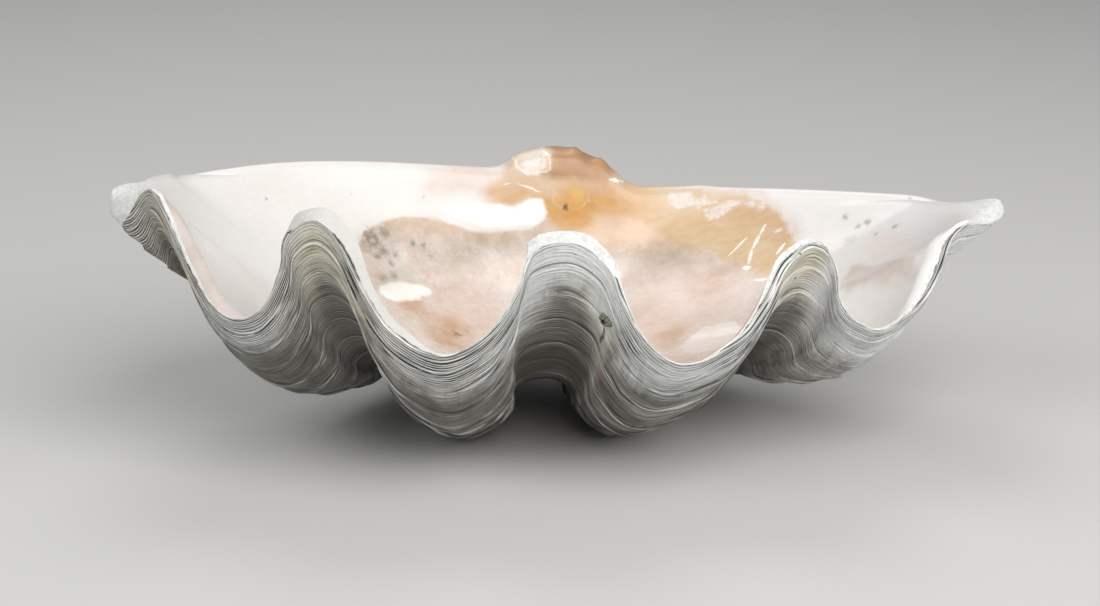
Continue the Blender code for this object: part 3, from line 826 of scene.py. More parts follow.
class Signal:  # one output of a node, for sums with numbers and with other outputs
    def __init__(self, tree, socket):
        self.tree, self.socket = tree, socket

    def __add__(self, other):
        return calc("ADD", self, other)

    def __radd__(self, other):
        return calc("ADD", other, self)

    def __sub__(self, other):
        return calc("SUBTRACT", self, other)

    def __rsub__(self, other):
        return calc("SUBTRACT", other, self)

    def __mul__(self, other):
        return calc("MULTIPLY", self, other)

    def __truediv__(self, other):
        return calc("DIVIDE", self, other)

    def __rtruediv__(self, other):
        return calc("DIVIDE", other, self)

    def __abs__(self):
        return calc("ABSOLUTE", self)


def fill(node, inputs):  # links what comes from a node, and sets plain numbers and colours
    for name, value in inputs.items():
        if isinstance(value, Signal):
            value.tree.links.new(value.socket, node.inputs[name])
        else:
            node.inputs[name].default_value = value


def addNode(tree, kind, inputs=None, **settings):
    node = tree.nodes.new(kind)
    for name, value in settings.items():
        setattr(node, name, value)
    fill(node, inputs or {})
    return node


def treeOf(inputs):
    return next(value.tree for value in inputs.values() if isinstance(value, Signal))


def signalsOf(tree, node):
    return {socket.name: Signal(tree, socket) for socket in node.outputs}


def made(kind, inputs, output=0, **settings):  # a node beside its inputs, as one of its outputs
    tree = treeOf(inputs)
    return Signal(tree, addNode(tree, kind, inputs, **settings).outputs[output])


def calc(operation, a, b=0.0):
    return made("ShaderNodeMath", {0: a, 1: b}, operation=operation)


def higher(a, b):
    return calc("MAXIMUM", a, b)


def clamped(signal):  # keeps the result of a sum between 0 and 1
    signal.socket.node.use_clamp = True
    return signal


def vectorCalc(operation, a, b=(0.0, 0.0, 0.0), output="Vector"):
    return made("ShaderNodeVectorMath", {0: a, 1: b}, output, operation=operation)


def stretched(vector, scale):
    return vectorCalc("MULTIPLY", vector, scale)


def joined(x, y, z):
    return made("ShaderNodeCombineXYZ", {"X": x, "Y": y, "Z": z})


def split(vector):
    return list(signalsOf(vector.tree, addNode(vector.tree, "ShaderNodeSeparateXYZ", {0: vector})).values())


def blend(factor, a, b, mode="MIX"):
    return made("ShaderNodeMix", {0: factor, 6: a, 7: b}, 2, data_type="RGBA", blend_type=mode)


def overlay(colour, mask, tones):  # tones are the strength, the colour where the mask is 0 and where it is 1
    strength, dark, light = tones
    return blend(strength, colour, blend(mask, dark, light), "OVERLAY")


def ramp(value, low, high, toLow=0.0, toHigh=1.0):  # smooth step from low to high
    inputs = {"Value": value, "From Min": low, "From Max": high, "To Min": toLow, "To Max": toHigh}
    return made("ShaderNodeMapRange", inputs, interpolation_type="SMOOTHSTEP")


def noise(vector, scale=1.0, detail=2.0, roughness=0.5):
    inputs = {"Vector": vector, "Scale": scale, "Detail": detail, "Roughness": roughness}
    return made("ShaderNodeTexNoise", inputs, "Fac")


def attribute(tree, name, output="Fac"):
    return Signal(tree, addNode(tree, "ShaderNodeAttribute", attribute_name=name).outputs[output])


def objectPosition(tree):
    return Signal(tree, addNode(tree, "ShaderNodeTexCoord").outputs["Object"])


def newGroup(name, inputs, outputs):  # an input without a number is a vector, and everything else a number
    tree = bpy.data.node_groups.new(name, "ShaderNodeTree")
    for title, value in inputs.items():
        kind = "NodeSocketVector" if value is None else "NodeSocketFloat"
        socket = tree.interface.new_socket(name=title, in_out="INPUT", socket_type=kind)
        if value is not None:
            socket.default_value = value
    for title in outputs:
        tree.interface.new_socket(name=title, in_out="OUTPUT", socket_type="NodeSocketFloat")
    return tree, signalsOf(tree, tree.nodes.new("NodeGroupInput")), tree.nodes.new("NodeGroupOutput")


def useGroup(group, **inputs):
    tree = treeOf(inputs)
    node = tree.nodes.new("ShaderNodeGroup")
    node.node_tree = group
    fill(node, inputs)
    return signalsOf(tree, node)


def newMaterial(name):
    material = bpy.data.materials.new(name)
    material.use_nodes = True
    return material, material.node_tree, material.node_tree.nodes["Principled BSDF"]


groupShapes = {
    "lineKinds": (  # output, waves per metre round the margin, lines in a spacing, detail
        ("Tone", 6.0, 0.09, 3.0), ("Bands", 16.0, 0.34, 2.0), ("Lines", 34.0, 1.0, 2.0), ("Hair", 70.0, 2.1, 1.0),
    ),
    "lineRoughness": 0.55,
    "sheetDark": (0.44, 0.20), "sheetPale": (0.36, 0.52), "sheetPaleEnd": (0.95, 0.74),  # parts of a spacing
    "sheetWaver": (13.0, 0.27), "sheetShares": 32.0, "sheetOwn": 5.37, "sheetFade": 0.22,
    "scratchBend": 0.006, "scratchDepth": 0.2,  # depth counts little
    "scratchEnd": 0.3, "scratchTaper": 3.0, "spotRagged": 2.4, "spotEdge": (1.6, 0.1),
    "ringRagged": 0.8, "ringDepth": (0.030, 0.020), "ringInside": (1.0, 0.8),
}


def growthLinesGroup():  # lines laid down along the margin, coarse to fine
    tree, given, result = newGroup("growthLines", {"Place": None, "Spacing": 0.002, "Waver": 0.002},
                                   ("Tone", "Bands", "Lines", "Hair"))
    wave = noise(given["Place"], 34.0, 4.0, 0.6) - 0.5
    place = vectorCalc("ADD", given["Place"], joined(0.0, 0.0, wave * given["Waver"]))
    perSpacing = 1.0 / given["Spacing"]
    for title, across, along, detail in groupShapes["lineKinds"]:
        scaled = stretched(place, joined(across, across, perSpacing * along))
        fill(result, {title: noise(scaled, 1.0, detail, groupShapes["lineRoughness"])})
    return tree


def sheetEdgesGroup():  # thin broken edges of the growth sheets: a dark crack, then a pale edge
    tree, given, result = newGroup("sheetEdges", {"Place": None, "Spacing": 0.004, "Waver": 1.2, "Share": 0.5},
                                   ("Dark", "Pale", "Step"))
    x, y, grown = split(given["Place"])
    perSpacing = 1.0 / given["Spacing"]
    across, slow = groupShapes["sheetWaver"]
    wave = noise(stretched(given["Place"], joined(across, across, perSpacing * slow)), 1.0, 2.0, 0.5) - 0.5
    along = grown * perSpacing + wave * (given["Waver"] * 4.0)
    sheet = calc("FLOOR", along)
    part = along - sheet
    shares = groupShapes["sheetShares"]
    strength = noise(joined(x * shares, y * shares, sheet * groupShapes["sheetOwn"]), 1.0, 3.0, 0.55)
    level = (1.0 - given["Share"]) * 0.80
    strength = ramp(strength, level, level + groupShapes["sheetFade"])
    pale = ramp(part, *groupShapes["sheetPale"]) * ramp(part, *groupShapes["sheetPaleEnd"])
    fill(result, {"Dark": ramp(part, *groupShapes["sheetDark"]) * strength, "Pale": pale * strength,
                  "Step": (1.0 - part) * strength})
    return tree


def stainMaskGroup():  # an edge field broken up by noise
    tree, given, result = newGroup(
        "stainMask", {"Field": 0.0, "Position": None, "Ragged": 0.004, "Scale": 90.0, "Soft": 0.002}, ("Mask",))
    rough = noise(given["Position"], given["Scale"], 4.0, 0.6) - 0.5
    field = given["Field"] + rough * given["Ragged"]
    fill(result, {"Mask": ramp(field, given["Soft"] * -1.0, given["Soft"])})
    return tree


def scratchGroup():  # a thin line from one point to another, fading at its ends
    tree, given, result = newGroup(
        "scratch", {"Position": None, "Start": None, "End": None, "Width": 0.001, "Noise": 0.5}, ("Mask",))
    bend = (given["Noise"] - 0.5) * groupShapes["scratchBend"]
    flatter = (1.0, groupShapes["scratchDepth"], 1.0)
    shifted = vectorCalc("ADD", given["Position"], joined(bend, bend, bend))
    fromStart = stretched(vectorCalc("SUBTRACT", shifted, given["Start"]), flatter)
    span = stretched(vectorCalc("SUBTRACT", given["End"], given["Start"]), flatter)
    size = vectorCalc("DOT_PRODUCT", span, span, "Value")
    part = clamped(vectorCalc("DOT_PRODUCT", fromStart, span, "Value") / size)
    onLine = made("ShaderNodeVectorMath", {0: span, "Scale": part}, operation="SCALE")
    away = vectorCalc("DISTANCE", fromStart, onLine, "Value")
    taper = part * (1.0 - part) * groupShapes["scratchTaper"]
    near = clamped(1.0 - away / (given["Width"] * (groupShapes["scratchEnd"] + taper)))
    fill(result, {"Mask": ramp(near, 0.0, 0.7)})
    return tree


def spotGroup():  # one small ragged spot
    tree, given, result = newGroup(
        "spot", {"Position": None, "Centre": None, "Size": 0.003, "Noise": 0.5}, ("Mask",))
    away = vectorCalc("DISTANCE", given["Position"], given["Centre"], "Value")
    reach = away / given["Size"] + (given["Noise"] - 0.5) * groupShapes["spotRagged"]
    fill(result, {"Mask": ramp(reach, *groupShapes["spotEdge"])})
    return tree


def ringGroup():  # a thin oval line, wide in x and high in z
    inputs = {"Position": None, "Centre": None, "Wide": 0.01, "High": 0.01, "Width": 0.001}
    tree, given, result = newGroup("ringMark", inputs, ("Line", "Inside"))
    wobble = noise(given["Position"], 90.0, 3.0, 0.6) - 0.5
    x, y, z = split(vectorCalc("SUBTRACT", given["Position"], given["Centre"]))
    reach = vectorCalc("LENGTH", joined(x / given["Wide"], 0.0, z / given["High"]), output="Value")
    reach = reach + wobble * groupShapes["ringRagged"]
    atMark = ramp(abs(y), *groupShapes["ringDepth"])
    line = ramp(abs(reach - 1.0), given["Width"] / given["High"], 0.0)
    fill(result, {"Line": line * atMark, "Inside": ramp(reach, *groupShapes["ringInside"]) * atMark})
    return tree


def pitsGroup():  # scattered small round pits
    tree, given, result = newGroup("pits", {"Position": None, "Scale": 60.0, "Size": 0.12, "Share": 0.3}, ("Mask",))
    inputs = {"Vector": given["Position"], "Scale": given["Scale"]}
    cells = signalsOf(tree, addNode(tree, "ShaderNodeTexVoronoi", inputs))
    chosen = calc("LESS_THAN", made("ShaderNodeSeparateColor", {0: cells["Color"]}), given["Share"])
    fill(result, {"Mask": ramp(cells["Distance"], given["Size"], given["Size"] * 0.4) * chosen})
    return tree


growthLines, sheetEdges, stainMask = growthLinesGroup(), sheetEdgesGroup(), stainMaskGroup()
scratch, spot, ringMark, pits = scratchGroup(), spotGroup(), ringGroup(), pitsGroup()


def stained(position, name, ragged, scale, soft):  # a stain's mask, with the raggedness and softness of its edge
    field = attribute(position.tree, name)
    return useGroup(stainMask, Field=field, Position=position, Ragged=ragged, Scale=scale, Soft=soft)["Mask"]


def metres(place):
    return tuple(value / 1000.0 for value in place)


def scratches(position, wobble, rows):  # all of them in one mask
    total = 0.0
    for start, end, width in rows:
        ends = {"Start": metres(start), "End": metres(end), "Width": width / 1000.0}
        total = higher(total, useGroup(scratch, Position=position, Noise=wobble, **ends)["Mask"])
    return total


def spotted(position, wobble, centre, size):  # one ragged spot
    return useGroup(spot, Position=position, Centre=metres(centre), Size=size / 1000.0, Noise=wobble)["Mask"]


def raised(height, finish):
    return made("ShaderNodeBump", {"Strength": finish["bump"], "Distance": finish["bumpDepth"], "Height": height})


def wobbles(position):  # slow for scratches, quick for spots
    return noise(position, 60.0, 2.0), noise(position, 260.0, 3.0, 0.6)


# The old, valley and crevice colours also stand for painted shade, and crest partly for a painted highlight on the
# ledges.
chalk = {
    "shade": rgb(218, 217, 213), "light": rgb(246, 245, 243), "olive": rgb(214, 206, 180),
    "slate": rgb(196, 201, 206), "oldDirtAndShade": rgb(100, 97, 88), "bleached": rgb(246, 247, 247), "soot": rgb(78, 79, 78),
    "creviceDirtAndShade": rgb(44, 42, 38), "crest": rgb(248, 247, 244), "valleyDirtAndShade": rgb(77, 68, 56), "pit": rgb(58, 60, 52),
    "bare": rgb(240, 240, 238), "bareShade": rgb(216, 215, 211), "bareLeft": rgb(216, 214, 208),
    "pink": rgb(206, 120, 124), "pinkSpot": ((10, -150, 96), 6),  # place and size in millimetres
    "bandTones": (0.20, rgb(88, 86, 82), rgb(226, 225, 222)),  # strength, dark colour, light colour
    "lineTones": (0.48, rgb(78, 76, 72), rgb(234, 233, 230)),
    "hairTones": (0.34, rgb(84, 82, 78), rgb(230, 229, 226)),
    "grainTones": (0.16, rgb(96, 96, 96), rgb(224, 224, 224)),
    "lineSpacing": 0.00125, "waver": 0.0022, "sheetSpacing": 0.0033, "thinSpacing": 0.45,
    "cracksFar": 0.55, "cracksNear": 1.0, "nearMargin": (0.054, 0.017),  # metres from the margin
    "cracks": (((9.5, -188, 149), (8, -172, 128), 1.6),),  # millimetres: from, to, width
    "bareEdge": (0.0042, 130.0, 0.0006), "areaEdge": (0.05, 12.0, 0.030), "bleachedEdge": (0.030, 16.0, 0.014),
    "roughness": 0.62, "bump": 0.70, "bumpDepth": 0.0007,
}


def chalkMaterial():
    material, tree, shader = newMaterial("growthChalk")
    position, place = objectPosition(tree), attribute(tree, "growthPlace", "Vector")
    lines = useGroup(growthLines, Place=place, Spacing=chalk["lineSpacing"], Waver=chalk["waver"])
    ledge, valleyDirtAndShadeMask = attribute(tree, "ledgeHighlightAndShade"), attribute(tree, "valleyDirtAndShade")
    slowWobble, quickWobble = wobbles(position)

    def cover(colour, mask, name):
        return blend(mask, colour, chalk[name])

    # Large areas: warm, cool and bleached, old shell darkened partly as painted shade, and painted shade, partly
    # grime, in the valleys between the ribs
    colour = blend(ramp(lines["Tone"], 0.36, 0.64), chalk["shade"], chalk["light"])
    patchy = noise(position, 14.0, 3.0, 0.55)
    olive, slate = stained(position, "olive", *chalk["areaEdge"]), stained(position, "slate", *chalk["areaEdge"])
    colour = cover(colour, olive * ramp(patchy, 0.3, 0.6, 0.35, 0.9), "olive")
    colour = cover(colour, slate * ramp(patchy, 0.7, 0.4, 0.25, 0.8), "slate")
    # Old shell darkened: partly dirt, partly painted shade on older growth and the undersides
    ageDirtAndShade = attribute(tree, "ageDirtAndShade") + (noise(stretched(place, (55.0, 55.0, 9.0)), 1.0, 3.0, 0.6) - 0.5) * 0.55
    colour = cover(colour, ramp(ageDirtAndShade, 0.08, 0.92, 0.0, 0.92), "oldDirtAndShade")
    # Painted shade, partly grime, in the grooves between the ribs
    colour = cover(colour, valleyDirtAndShadeMask * 0.93, "valleyDirtAndShade")
    bleached = stained(position, "bleached", *chalk["bleachedEdge"]) * ramp(patchy, 0.3, 0.6, 0.60, 0.95)
    colour = cover(colour, bleached, "bleached")

    # Growth lines, and dirt between them
    bands, fine = ramp(lines["Bands"], 0.38, 0.62), ramp(lines["Lines"], 0.36, 0.64)
    hair = ramp(lines["Hair"], 0.34, 0.66)
    colour = overlay(colour, bands, chalk["bandTones"])
    colour = overlay(colour, fine, chalk["lineTones"])
    colour = overlay(colour, hair, chalk["hairTones"])
    soot = ramp(noise(stretched(place, (95.0, 95.0, 26.0)), 1.0, 4.0, 0.65), 0.50, 0.66)
    colour = cover(colour, soot * ramp(ageDirtAndShade, 0.10, 0.75, 0.12, 0.50), "soot")
    colour = cover(colour, ramp(noise(position, 380.0, 3.0, 0.65), 0.60, 0.70) * 0.32, "creviceDirtAndShade")

    # Cracks and pale edges of the growth sheets, strongest near the margin and weak on the crests, with a painted
    # highlight on each ledge's crest and painted shade at its foot
    nearMargin = ramp(split(place)[2], *chalk["nearMargin"])
    lively = ramp(noise(stretched(place, (9.0, 9.0, 26.0))), 0.42, 0.60)
    strength = clamped(lively * chalk["cracksFar"] + nearMargin * chalk["cracksNear"])
    strength = clamped(strength * ramp(attribute(tree, "crest"), 0.15, 0.85, 1.15, 0.42))
    strength = strength * ramp(bleached, 0.2, 0.9, 1.0, 0.50)
    coarse = useGroup(sheetEdges, Place=place, Spacing=chalk["sheetSpacing"], Waver=0.45, Share=0.64)
    thinSpacing = chalk["sheetSpacing"] * chalk["thinSpacing"]
    thin = useGroup(sheetEdges, Place=place, Spacing=thinSpacing, Waver=0.8, Share=0.50)
    creviceDirtAndShade = ramp(lines["Lines"], 0.40, 0.33) * (strength * 0.5)
    creviceDirtAndShade = higher(creviceDirtAndShade, coarse["Dark"] * strength)
    creviceDirtAndShade = higher(creviceDirtAndShade, thin["Dark"] * (strength * 0.7))
    # Painted highlight along each ledge's crest
    ledgeCrestHighlight = ramp(ledge, 0.30, 0.85, 0.0, 0.70) * ramp(valleyDirtAndShadeMask, 0.2, 1.0, 1.0, 0.25)
    paleLine = higher(coarse["Pale"], thin["Pale"] * 0.6) * (strength + 0.05)
    colour = cover(colour, higher(ledgeCrestHighlight, paleLine), "crest")
    # Dark cracks, and painted shade at the foot of each ledge
    colour = cover(colour, higher(creviceDirtAndShade, ramp(ledge, -0.30, -0.80, 0.0, 0.75)), "creviceDirtAndShade")

    # Pits, the crack beside the barnacle and the pink spot under it
    hole = useGroup(pits, Position=position, Scale=56.0, Size=0.075, Share=0.16)["Mask"]
    colour = cover(colour, hole * 0.70, "pit")
    cracked = scratches(position, slowWobble, chalk["cracks"])
    colour = cover(colour, cracked * 0.85, "pit")
    colour = cover(colour, spotted(position, quickWobble, *chalk["pinkSpot"]) * 0.45, "pink")

    # The lip's bare white shell, with a painted shadow line outside its border
    grain, crumbly = noise(position, 900.0, 2.0, 0.6), noise(position, 230.0, 4.0, 0.7)
    bare = stained(position, "bareShell", *chalk["bareEdge"])
    sideways = split(position)[0]
    leftCrest = ramp(sideways, -0.080, -0.150) * ramp(sideways, -0.330, -0.290)
    bareColour = blend(leftCrest, chalk["bare"], chalk["bareLeft"])
    bareColour = cover(bareColour, ramp(crumbly, 0.58, 0.38, 0.0, 0.85), "bareShade")
    # Painted shadow under the step at the bare shell's border
    undercutShadow = ramp(attribute(tree, "bareShell"), -0.0034, -0.0010) * ramp(lines["Bands"], 0.40, 0.56)
    colour = cover(colour, undercutShadow * 0.55, "creviceDirtAndShade")
    colour = overlay(blend(bare, colour, bareColour), grain, chalk["grainTones"])

    height = fine * 0.6 + bands * 0.6 + coarse["Step"] * (0.5 + strength * 1.6) + thin["Step"] * 0.3 + hair * 0.45
    height = (height - higher(hole, cracked) * 1.5) * (1.0 - bare)
    height = height + grain * ramp(bare, 0.0, 1.0, 0.25, 1.2)
    height = height + crumbly * ramp(bare, 0.0, 1.0, 0.0, 2.4) + bare * 0.6
    bump = raised(height, chalk)
    fill(shader, {"Base Color": colour, "Roughness": chalk["roughness"], "Normal": bump})
    return material


porcelain = {
    "white": rgb(231, 228, 225), "cream": rgb(229, 224, 219), "pink": rgb(216, 190, 176),
    "floor": rgb(208, 187, 171), "tan": rgb(191, 161, 127), "amber": rgb(210, 178, 133),
    "deep": rgb(206, 147, 60), "cloud": rgb(223, 197, 173),
    "peach": rgb(176, 129, 88), "greyPeach": rgb(216, 192, 176), "beige": rgb(206, 188, 176),
    "bright": rgb(248, 246, 242), "scarAndHighlight": rgb(232, 222, 216), "rust": rgb(190, 146, 104),
    "smudge": rgb(138, 130, 112),
    "crust": rgb(98, 86, 64), "rim": rgb(236, 234, 231), "pit": rgb(78, 66, 56), "bevelTint": rgb(204, 192, 184),
    "gold": rgb(220, 180, 100), "fibreTones": (0.10, rgb(112, 108, 104), rgb(206, 206, 206)),
    "layers": (  # stain, how ragged, how coarse and how soft its edge is, what thins it, least and most cover
        ("pink", 0.030, 30.0, 0.0220, "even", 0.50, 0.50), ("beige", 0.015, 45.0, 0.0045, "mottle", 0.55, 0.85),
        ("greyPeach", 0.024, 40.0, 0.012, "even", 0.75, 0.75), ("amber", 0.010, 60.0, 0.0035, "streaks", 0.75, 1.0),
        ("cloud", 0.010, 50.0, 0.0050, "mottle", 0.75, 0.95), ("deep", 0.012, 50.0, 0.0120, "streaks", 0.60, 1.0),
        ("peach", 0.010, 60.0, 0.005, "even", 0.85, 0.85), ("rust", 0.022, 45.0, 0.013, "mottle", 0.35, 0.75),
    ),
    "roughness": 0.40, "rimRoughness": 0.60, "unevenGloss": 0.25, "coat": 0.30, "coatRoughness": 0.18,
    "bump": 0.5, "bumpDepth": 0.0006,
    "scratches": (  # millimetres: from, to, width
        ((195.5, 108.6, 143.1), (190.2, 103.6, 136.7), 1.3), ((190.2, 103.6, 136.7), (179.8, 91.4, 124.9), 1.7),
        ((179.8, 91.4, 124.9), (175, 79.5, 115.3), 1.8), ((170.1, 78.8, 112.4), (176.7, 76.2, 114.1), 1.8),
        ((178.3, 104.4, 132.7), (159.9, 94.9, 118.3), 0.9), ((207.9, 83.7, 132.6), (197.5, 75, 123.5), 1.3),
        ((176.2, 58.9, 106.9), (187.5, 54.1, 109.9), 1.2), ((-23, 141, 177), (-1, 139, 167), 1.2),
        ((-26, 141, 177), (-36, 141, 174), 0.9), ((66, 155, 173), (90, 150, 168), 1.2),
        ((58, 152, 176), (70, 150, 173), 2.2),
    ),
    "spots": (  # place and size in millimetres, strength
        ((259, 78, 158), 3.2, 0.55), ((267, 62, 153), 3, 0.40), ((275, 61, 157), 3.4, 0.55),
        ((277, 39, 153), 2.6, 0.35), ((259, 53, 143), 6, 0.22), ((292, 32, 162), 3.4, 0.50),
        ((313, 65, 177), 2.2, 0.50), ((-154, 92, 142), 7.5, 0.75), ((-143, 100, 144), 5, 0.60),
        ((-144, 88, 131), 4.8, 0.55), ((-150, 82, 127), 3.4, 0.50), ((-133, 92, 127), 3.6, 0.50),
        ((-117, 105, 134), 3.4, 0.70), ((-108, 108, 129), 2.6, 0.50), ((-101, 102, 122), 3.4, 0.60),
        ((-85, 28, 76), 4.8, 0.70), ((-76, 36, 76), 2.8, 0.60), ((-299, 7, 198), 2.2, 0.55),
        ((-267, 54, 188), 1.4, 0.40), ((-244, 72, 184), 1.8, 0.45), ((-172, 110, 176), 1.4, 0.40),
        ((-107, 128, 168), 1.4, 0.40), ((-146, 64, 114), 3.6, 0.45), ((-136, 73, 114), 4, 0.45),
        ((-138, 83, 122), 3.2, 0.50),
    ),
    "knob": ((-153, 91, 141), 3), "golden": ((31, 139, 166.5), 8), "ligamentPit": ((20, 137, 154), 2.6),
    "ligamentRing": {"Centre": (0.0250, 0.139, 0.1622), "Wide": 0.0165, "High": 0.0100, "Width": 0.0016},
    "ovalScar": {"Centre": (-0.0085, 0.146, 0.1935), "Wide": 0.0155, "High": 0.0105, "Width": 0.0015},
}


def porcelainMaterial():
    material, tree, shader = newMaterial("stainedPorcelain")
    position, place = objectPosition(tree), attribute(tree, "growthPlace", "Vector")
    mottle, flecks = noise(position, 38.0, 4.0, 0.65), noise(position, 210.0, 4.0, 0.7)
    fibres = noise(stretched(position, (70.0, 160.0, 160.0)), 1.0, 4.0, 0.6)
    streaky = noise(stretched(position, (16.0, 30.0, 44.0)), 1.0, 4.0, 0.6)
    slowWobble, quickWobble = wobbles(position)

    def cover(colour, mask, share, name):
        return blend(mask * share, colour, porcelain[name])

    # The white shell, and the tinted floor with its tan border on the back wall
    cloudy = ramp(noise(position, 9.0, 4.0, 0.55), 0.42, 0.68, 0.0, 0.8)
    colour = blend(cloudy, porcelain["white"], porcelain["cream"])
    tint = attribute(tree, "floorTint")
    floorMask = stained(position, "floorTint", 0.006, 70.0, 0.0022)
    colour = cover(colour, floorMask, ramp(mottle, 0.25, 0.75, 0.40, 0.95), "floor")
    colour = cover(colour, ramp(flecks, 0.50, 0.64) * ramp(tint, 0.0, 0.020), 0.38, "white")
    border = ramp(tint, -0.001, 0.002) * ramp(tint, 0.016, 0.004) * ramp(split(position)[1], 0.030, 0.060)
    colour = cover(colour, border, ramp(mottle, 0.3, 0.7, 0.15, 0.60), "tan")

    # Stains
    patterns = {"mottle": (mottle, 0.3, 0.7), "streaks": (streaky, 0.25, 0.75)}
    for name, ragged, scale, soft, pattern, least, most in porcelain["layers"]:
        share = most if pattern == "even" else ramp(*patterns[pattern], least, most)
        colour = cover(colour, stained(position, name, ragged, scale, soft), share, name)
    bevelled = stained(position, "bevel", 0.003, 60.0, 0.0010)
    colour = cover(colour, bevelled, ramp(streaky, 0.3, 0.7, 0.75, 1.0), "bevelTint")
    # Pale scars, and a painted highlight at the right foot of the hinge's hump
    scarAndHighlight = stained(position, "paleScarAndHighlight", 0.012, 110.0, 0.0018)
    colour = cover(colour, scarAndHighlight, ramp(noise(position, 320.0), 0.3, 0.6, 0.45, 0.90), "scarAndHighlight")
    colour = cover(colour, stained(position, "brightPatch", 0.008, 70.0, 0.0022), 0.92, "bright")
    smudge = stained(position, "smudge", 0.016, 38.0, 0.012)
    colour = cover(colour, smudge, 0.34 + ramp(flecks, 0.40, 0.62) * 0.26, "smudge")
    colour = overlay(colour, ramp(fibres, 0.35, 0.65), porcelain["fibreTones"])

    # Spots, the pale knob in the largest of them, the white rim, scratches and pits
    dark = 0.0
    for centre, size, strength in porcelain["spots"]:
        dark = higher(dark, spotted(position, quickWobble, centre, size) * strength)
    colour = blend(dark, colour, porcelain["crust"])
    colour = cover(colour, spotted(position, quickWobble, *porcelain["knob"]), 0.9, "cream")
    rim = attribute(tree, "rim")
    peachy = 1.0 - stained(position, "peach", 0.010, 60.0, 0.010)
    colour = cover(colour, rim * peachy, 0.9 - bevelled * 0.9, "rim")
    scratched = scratches(position, slowWobble, porcelain["scratches"])
    scratched = scratched * ramp(noise(position, 420.0, 3.0, 0.6), 0.36, 0.56, 0.60, 1.0)
    colour = cover(colour, scratched, 0.90, "bright")
    hole = useGroup(pits, Position=position, Scale=36.0, Size=0.050, Share=0.10)["Mask"]
    colour = cover(colour, hole, 0.40, "pit")

    # Marks at the hinge
    ligament = useGroup(ringMark, Position=position, **porcelain["ligamentRing"])
    golden = spotted(position, quickWobble, *porcelain["golden"])
    colour = cover(colour, golden * ligament["Inside"], 0.75, "gold")
    colour = cover(colour, ligament["Line"], ramp(mottle, 0.40, 0.60, 0.10, 0.50), "cloud")
    oval = useGroup(ringMark, Position=position, **porcelain["ovalScar"])
    colour = cover(colour, oval["Inside"], ramp(mottle, 0.35, 0.65, 0.10, 0.40), "scarAndHighlight")
    colour = cover(colour, oval["Line"], ramp(mottle, 0.40, 0.60, 0.35, 0.90), "bright")
    colour = cover(colour, spotted(position, quickWobble, *porcelain["ligamentPit"]), 0.85, "pit")

    rough = ramp(rim, 0.0, 1.0, porcelain["roughness"], porcelain["rimRoughness"])
    rough = rough + (mottle - 0.5) * porcelain["unevenGloss"]
    lines = useGroup(growthLines, Place=place, Spacing=0.004, Waver=0.004)
    height = mottle * 1.2 + lines["Bands"] * 0.5 + noise(position, 700.0, 2.0, 0.6) * ramp(rim, 0.0, 1.0, 0.10, 0.8)
    height = height + (scratched + scarAndHighlight) * 0.5 - higher(hole, dark) * 1.0
    bump = raised(height, porcelain)
    fill(shader, {"Base Color": colour, "Roughness": rough, "Coat Weight": (1.0 - rim) * porcelain["coat"],
                  "Coat Roughness": porcelain["coatRoughness"], "Normal": bump})
    return material


barnacle = {
    "place": (0.0085, -0.190, 0.155), "seed": 8, "sides": 28, "ribs": 7.0, "ribHeight": 0.10,
    "ribSpread": 0.05, "chipSpread": 0.12, "lowerSide": 1.15, "upperSide": 0.95,
    "profile": (  # radius and height from the shell
        (0.0066, -0.0012), (0.0058, 0.0006), (0.0046, 0.0022), (0.0036, 0.0031), (0.0028, 0.0032), (0.0022, 0.0022),
        (0.0018, 0.0004), (0.0010, -0.0004),
    ),
    "holeFrom": 5,  # ring of the profile where the hole begins
    "searchFrom": 8,  # outside ring from which its place is looked for
    "crust": rgb(146, 148, 130), "dirt": rgb(70, 76, 60), "hole": rgb(24, 26, 22), "roughness": 0.75,
    "bump": 0.6, "bumpDepth": 0.0004,
}


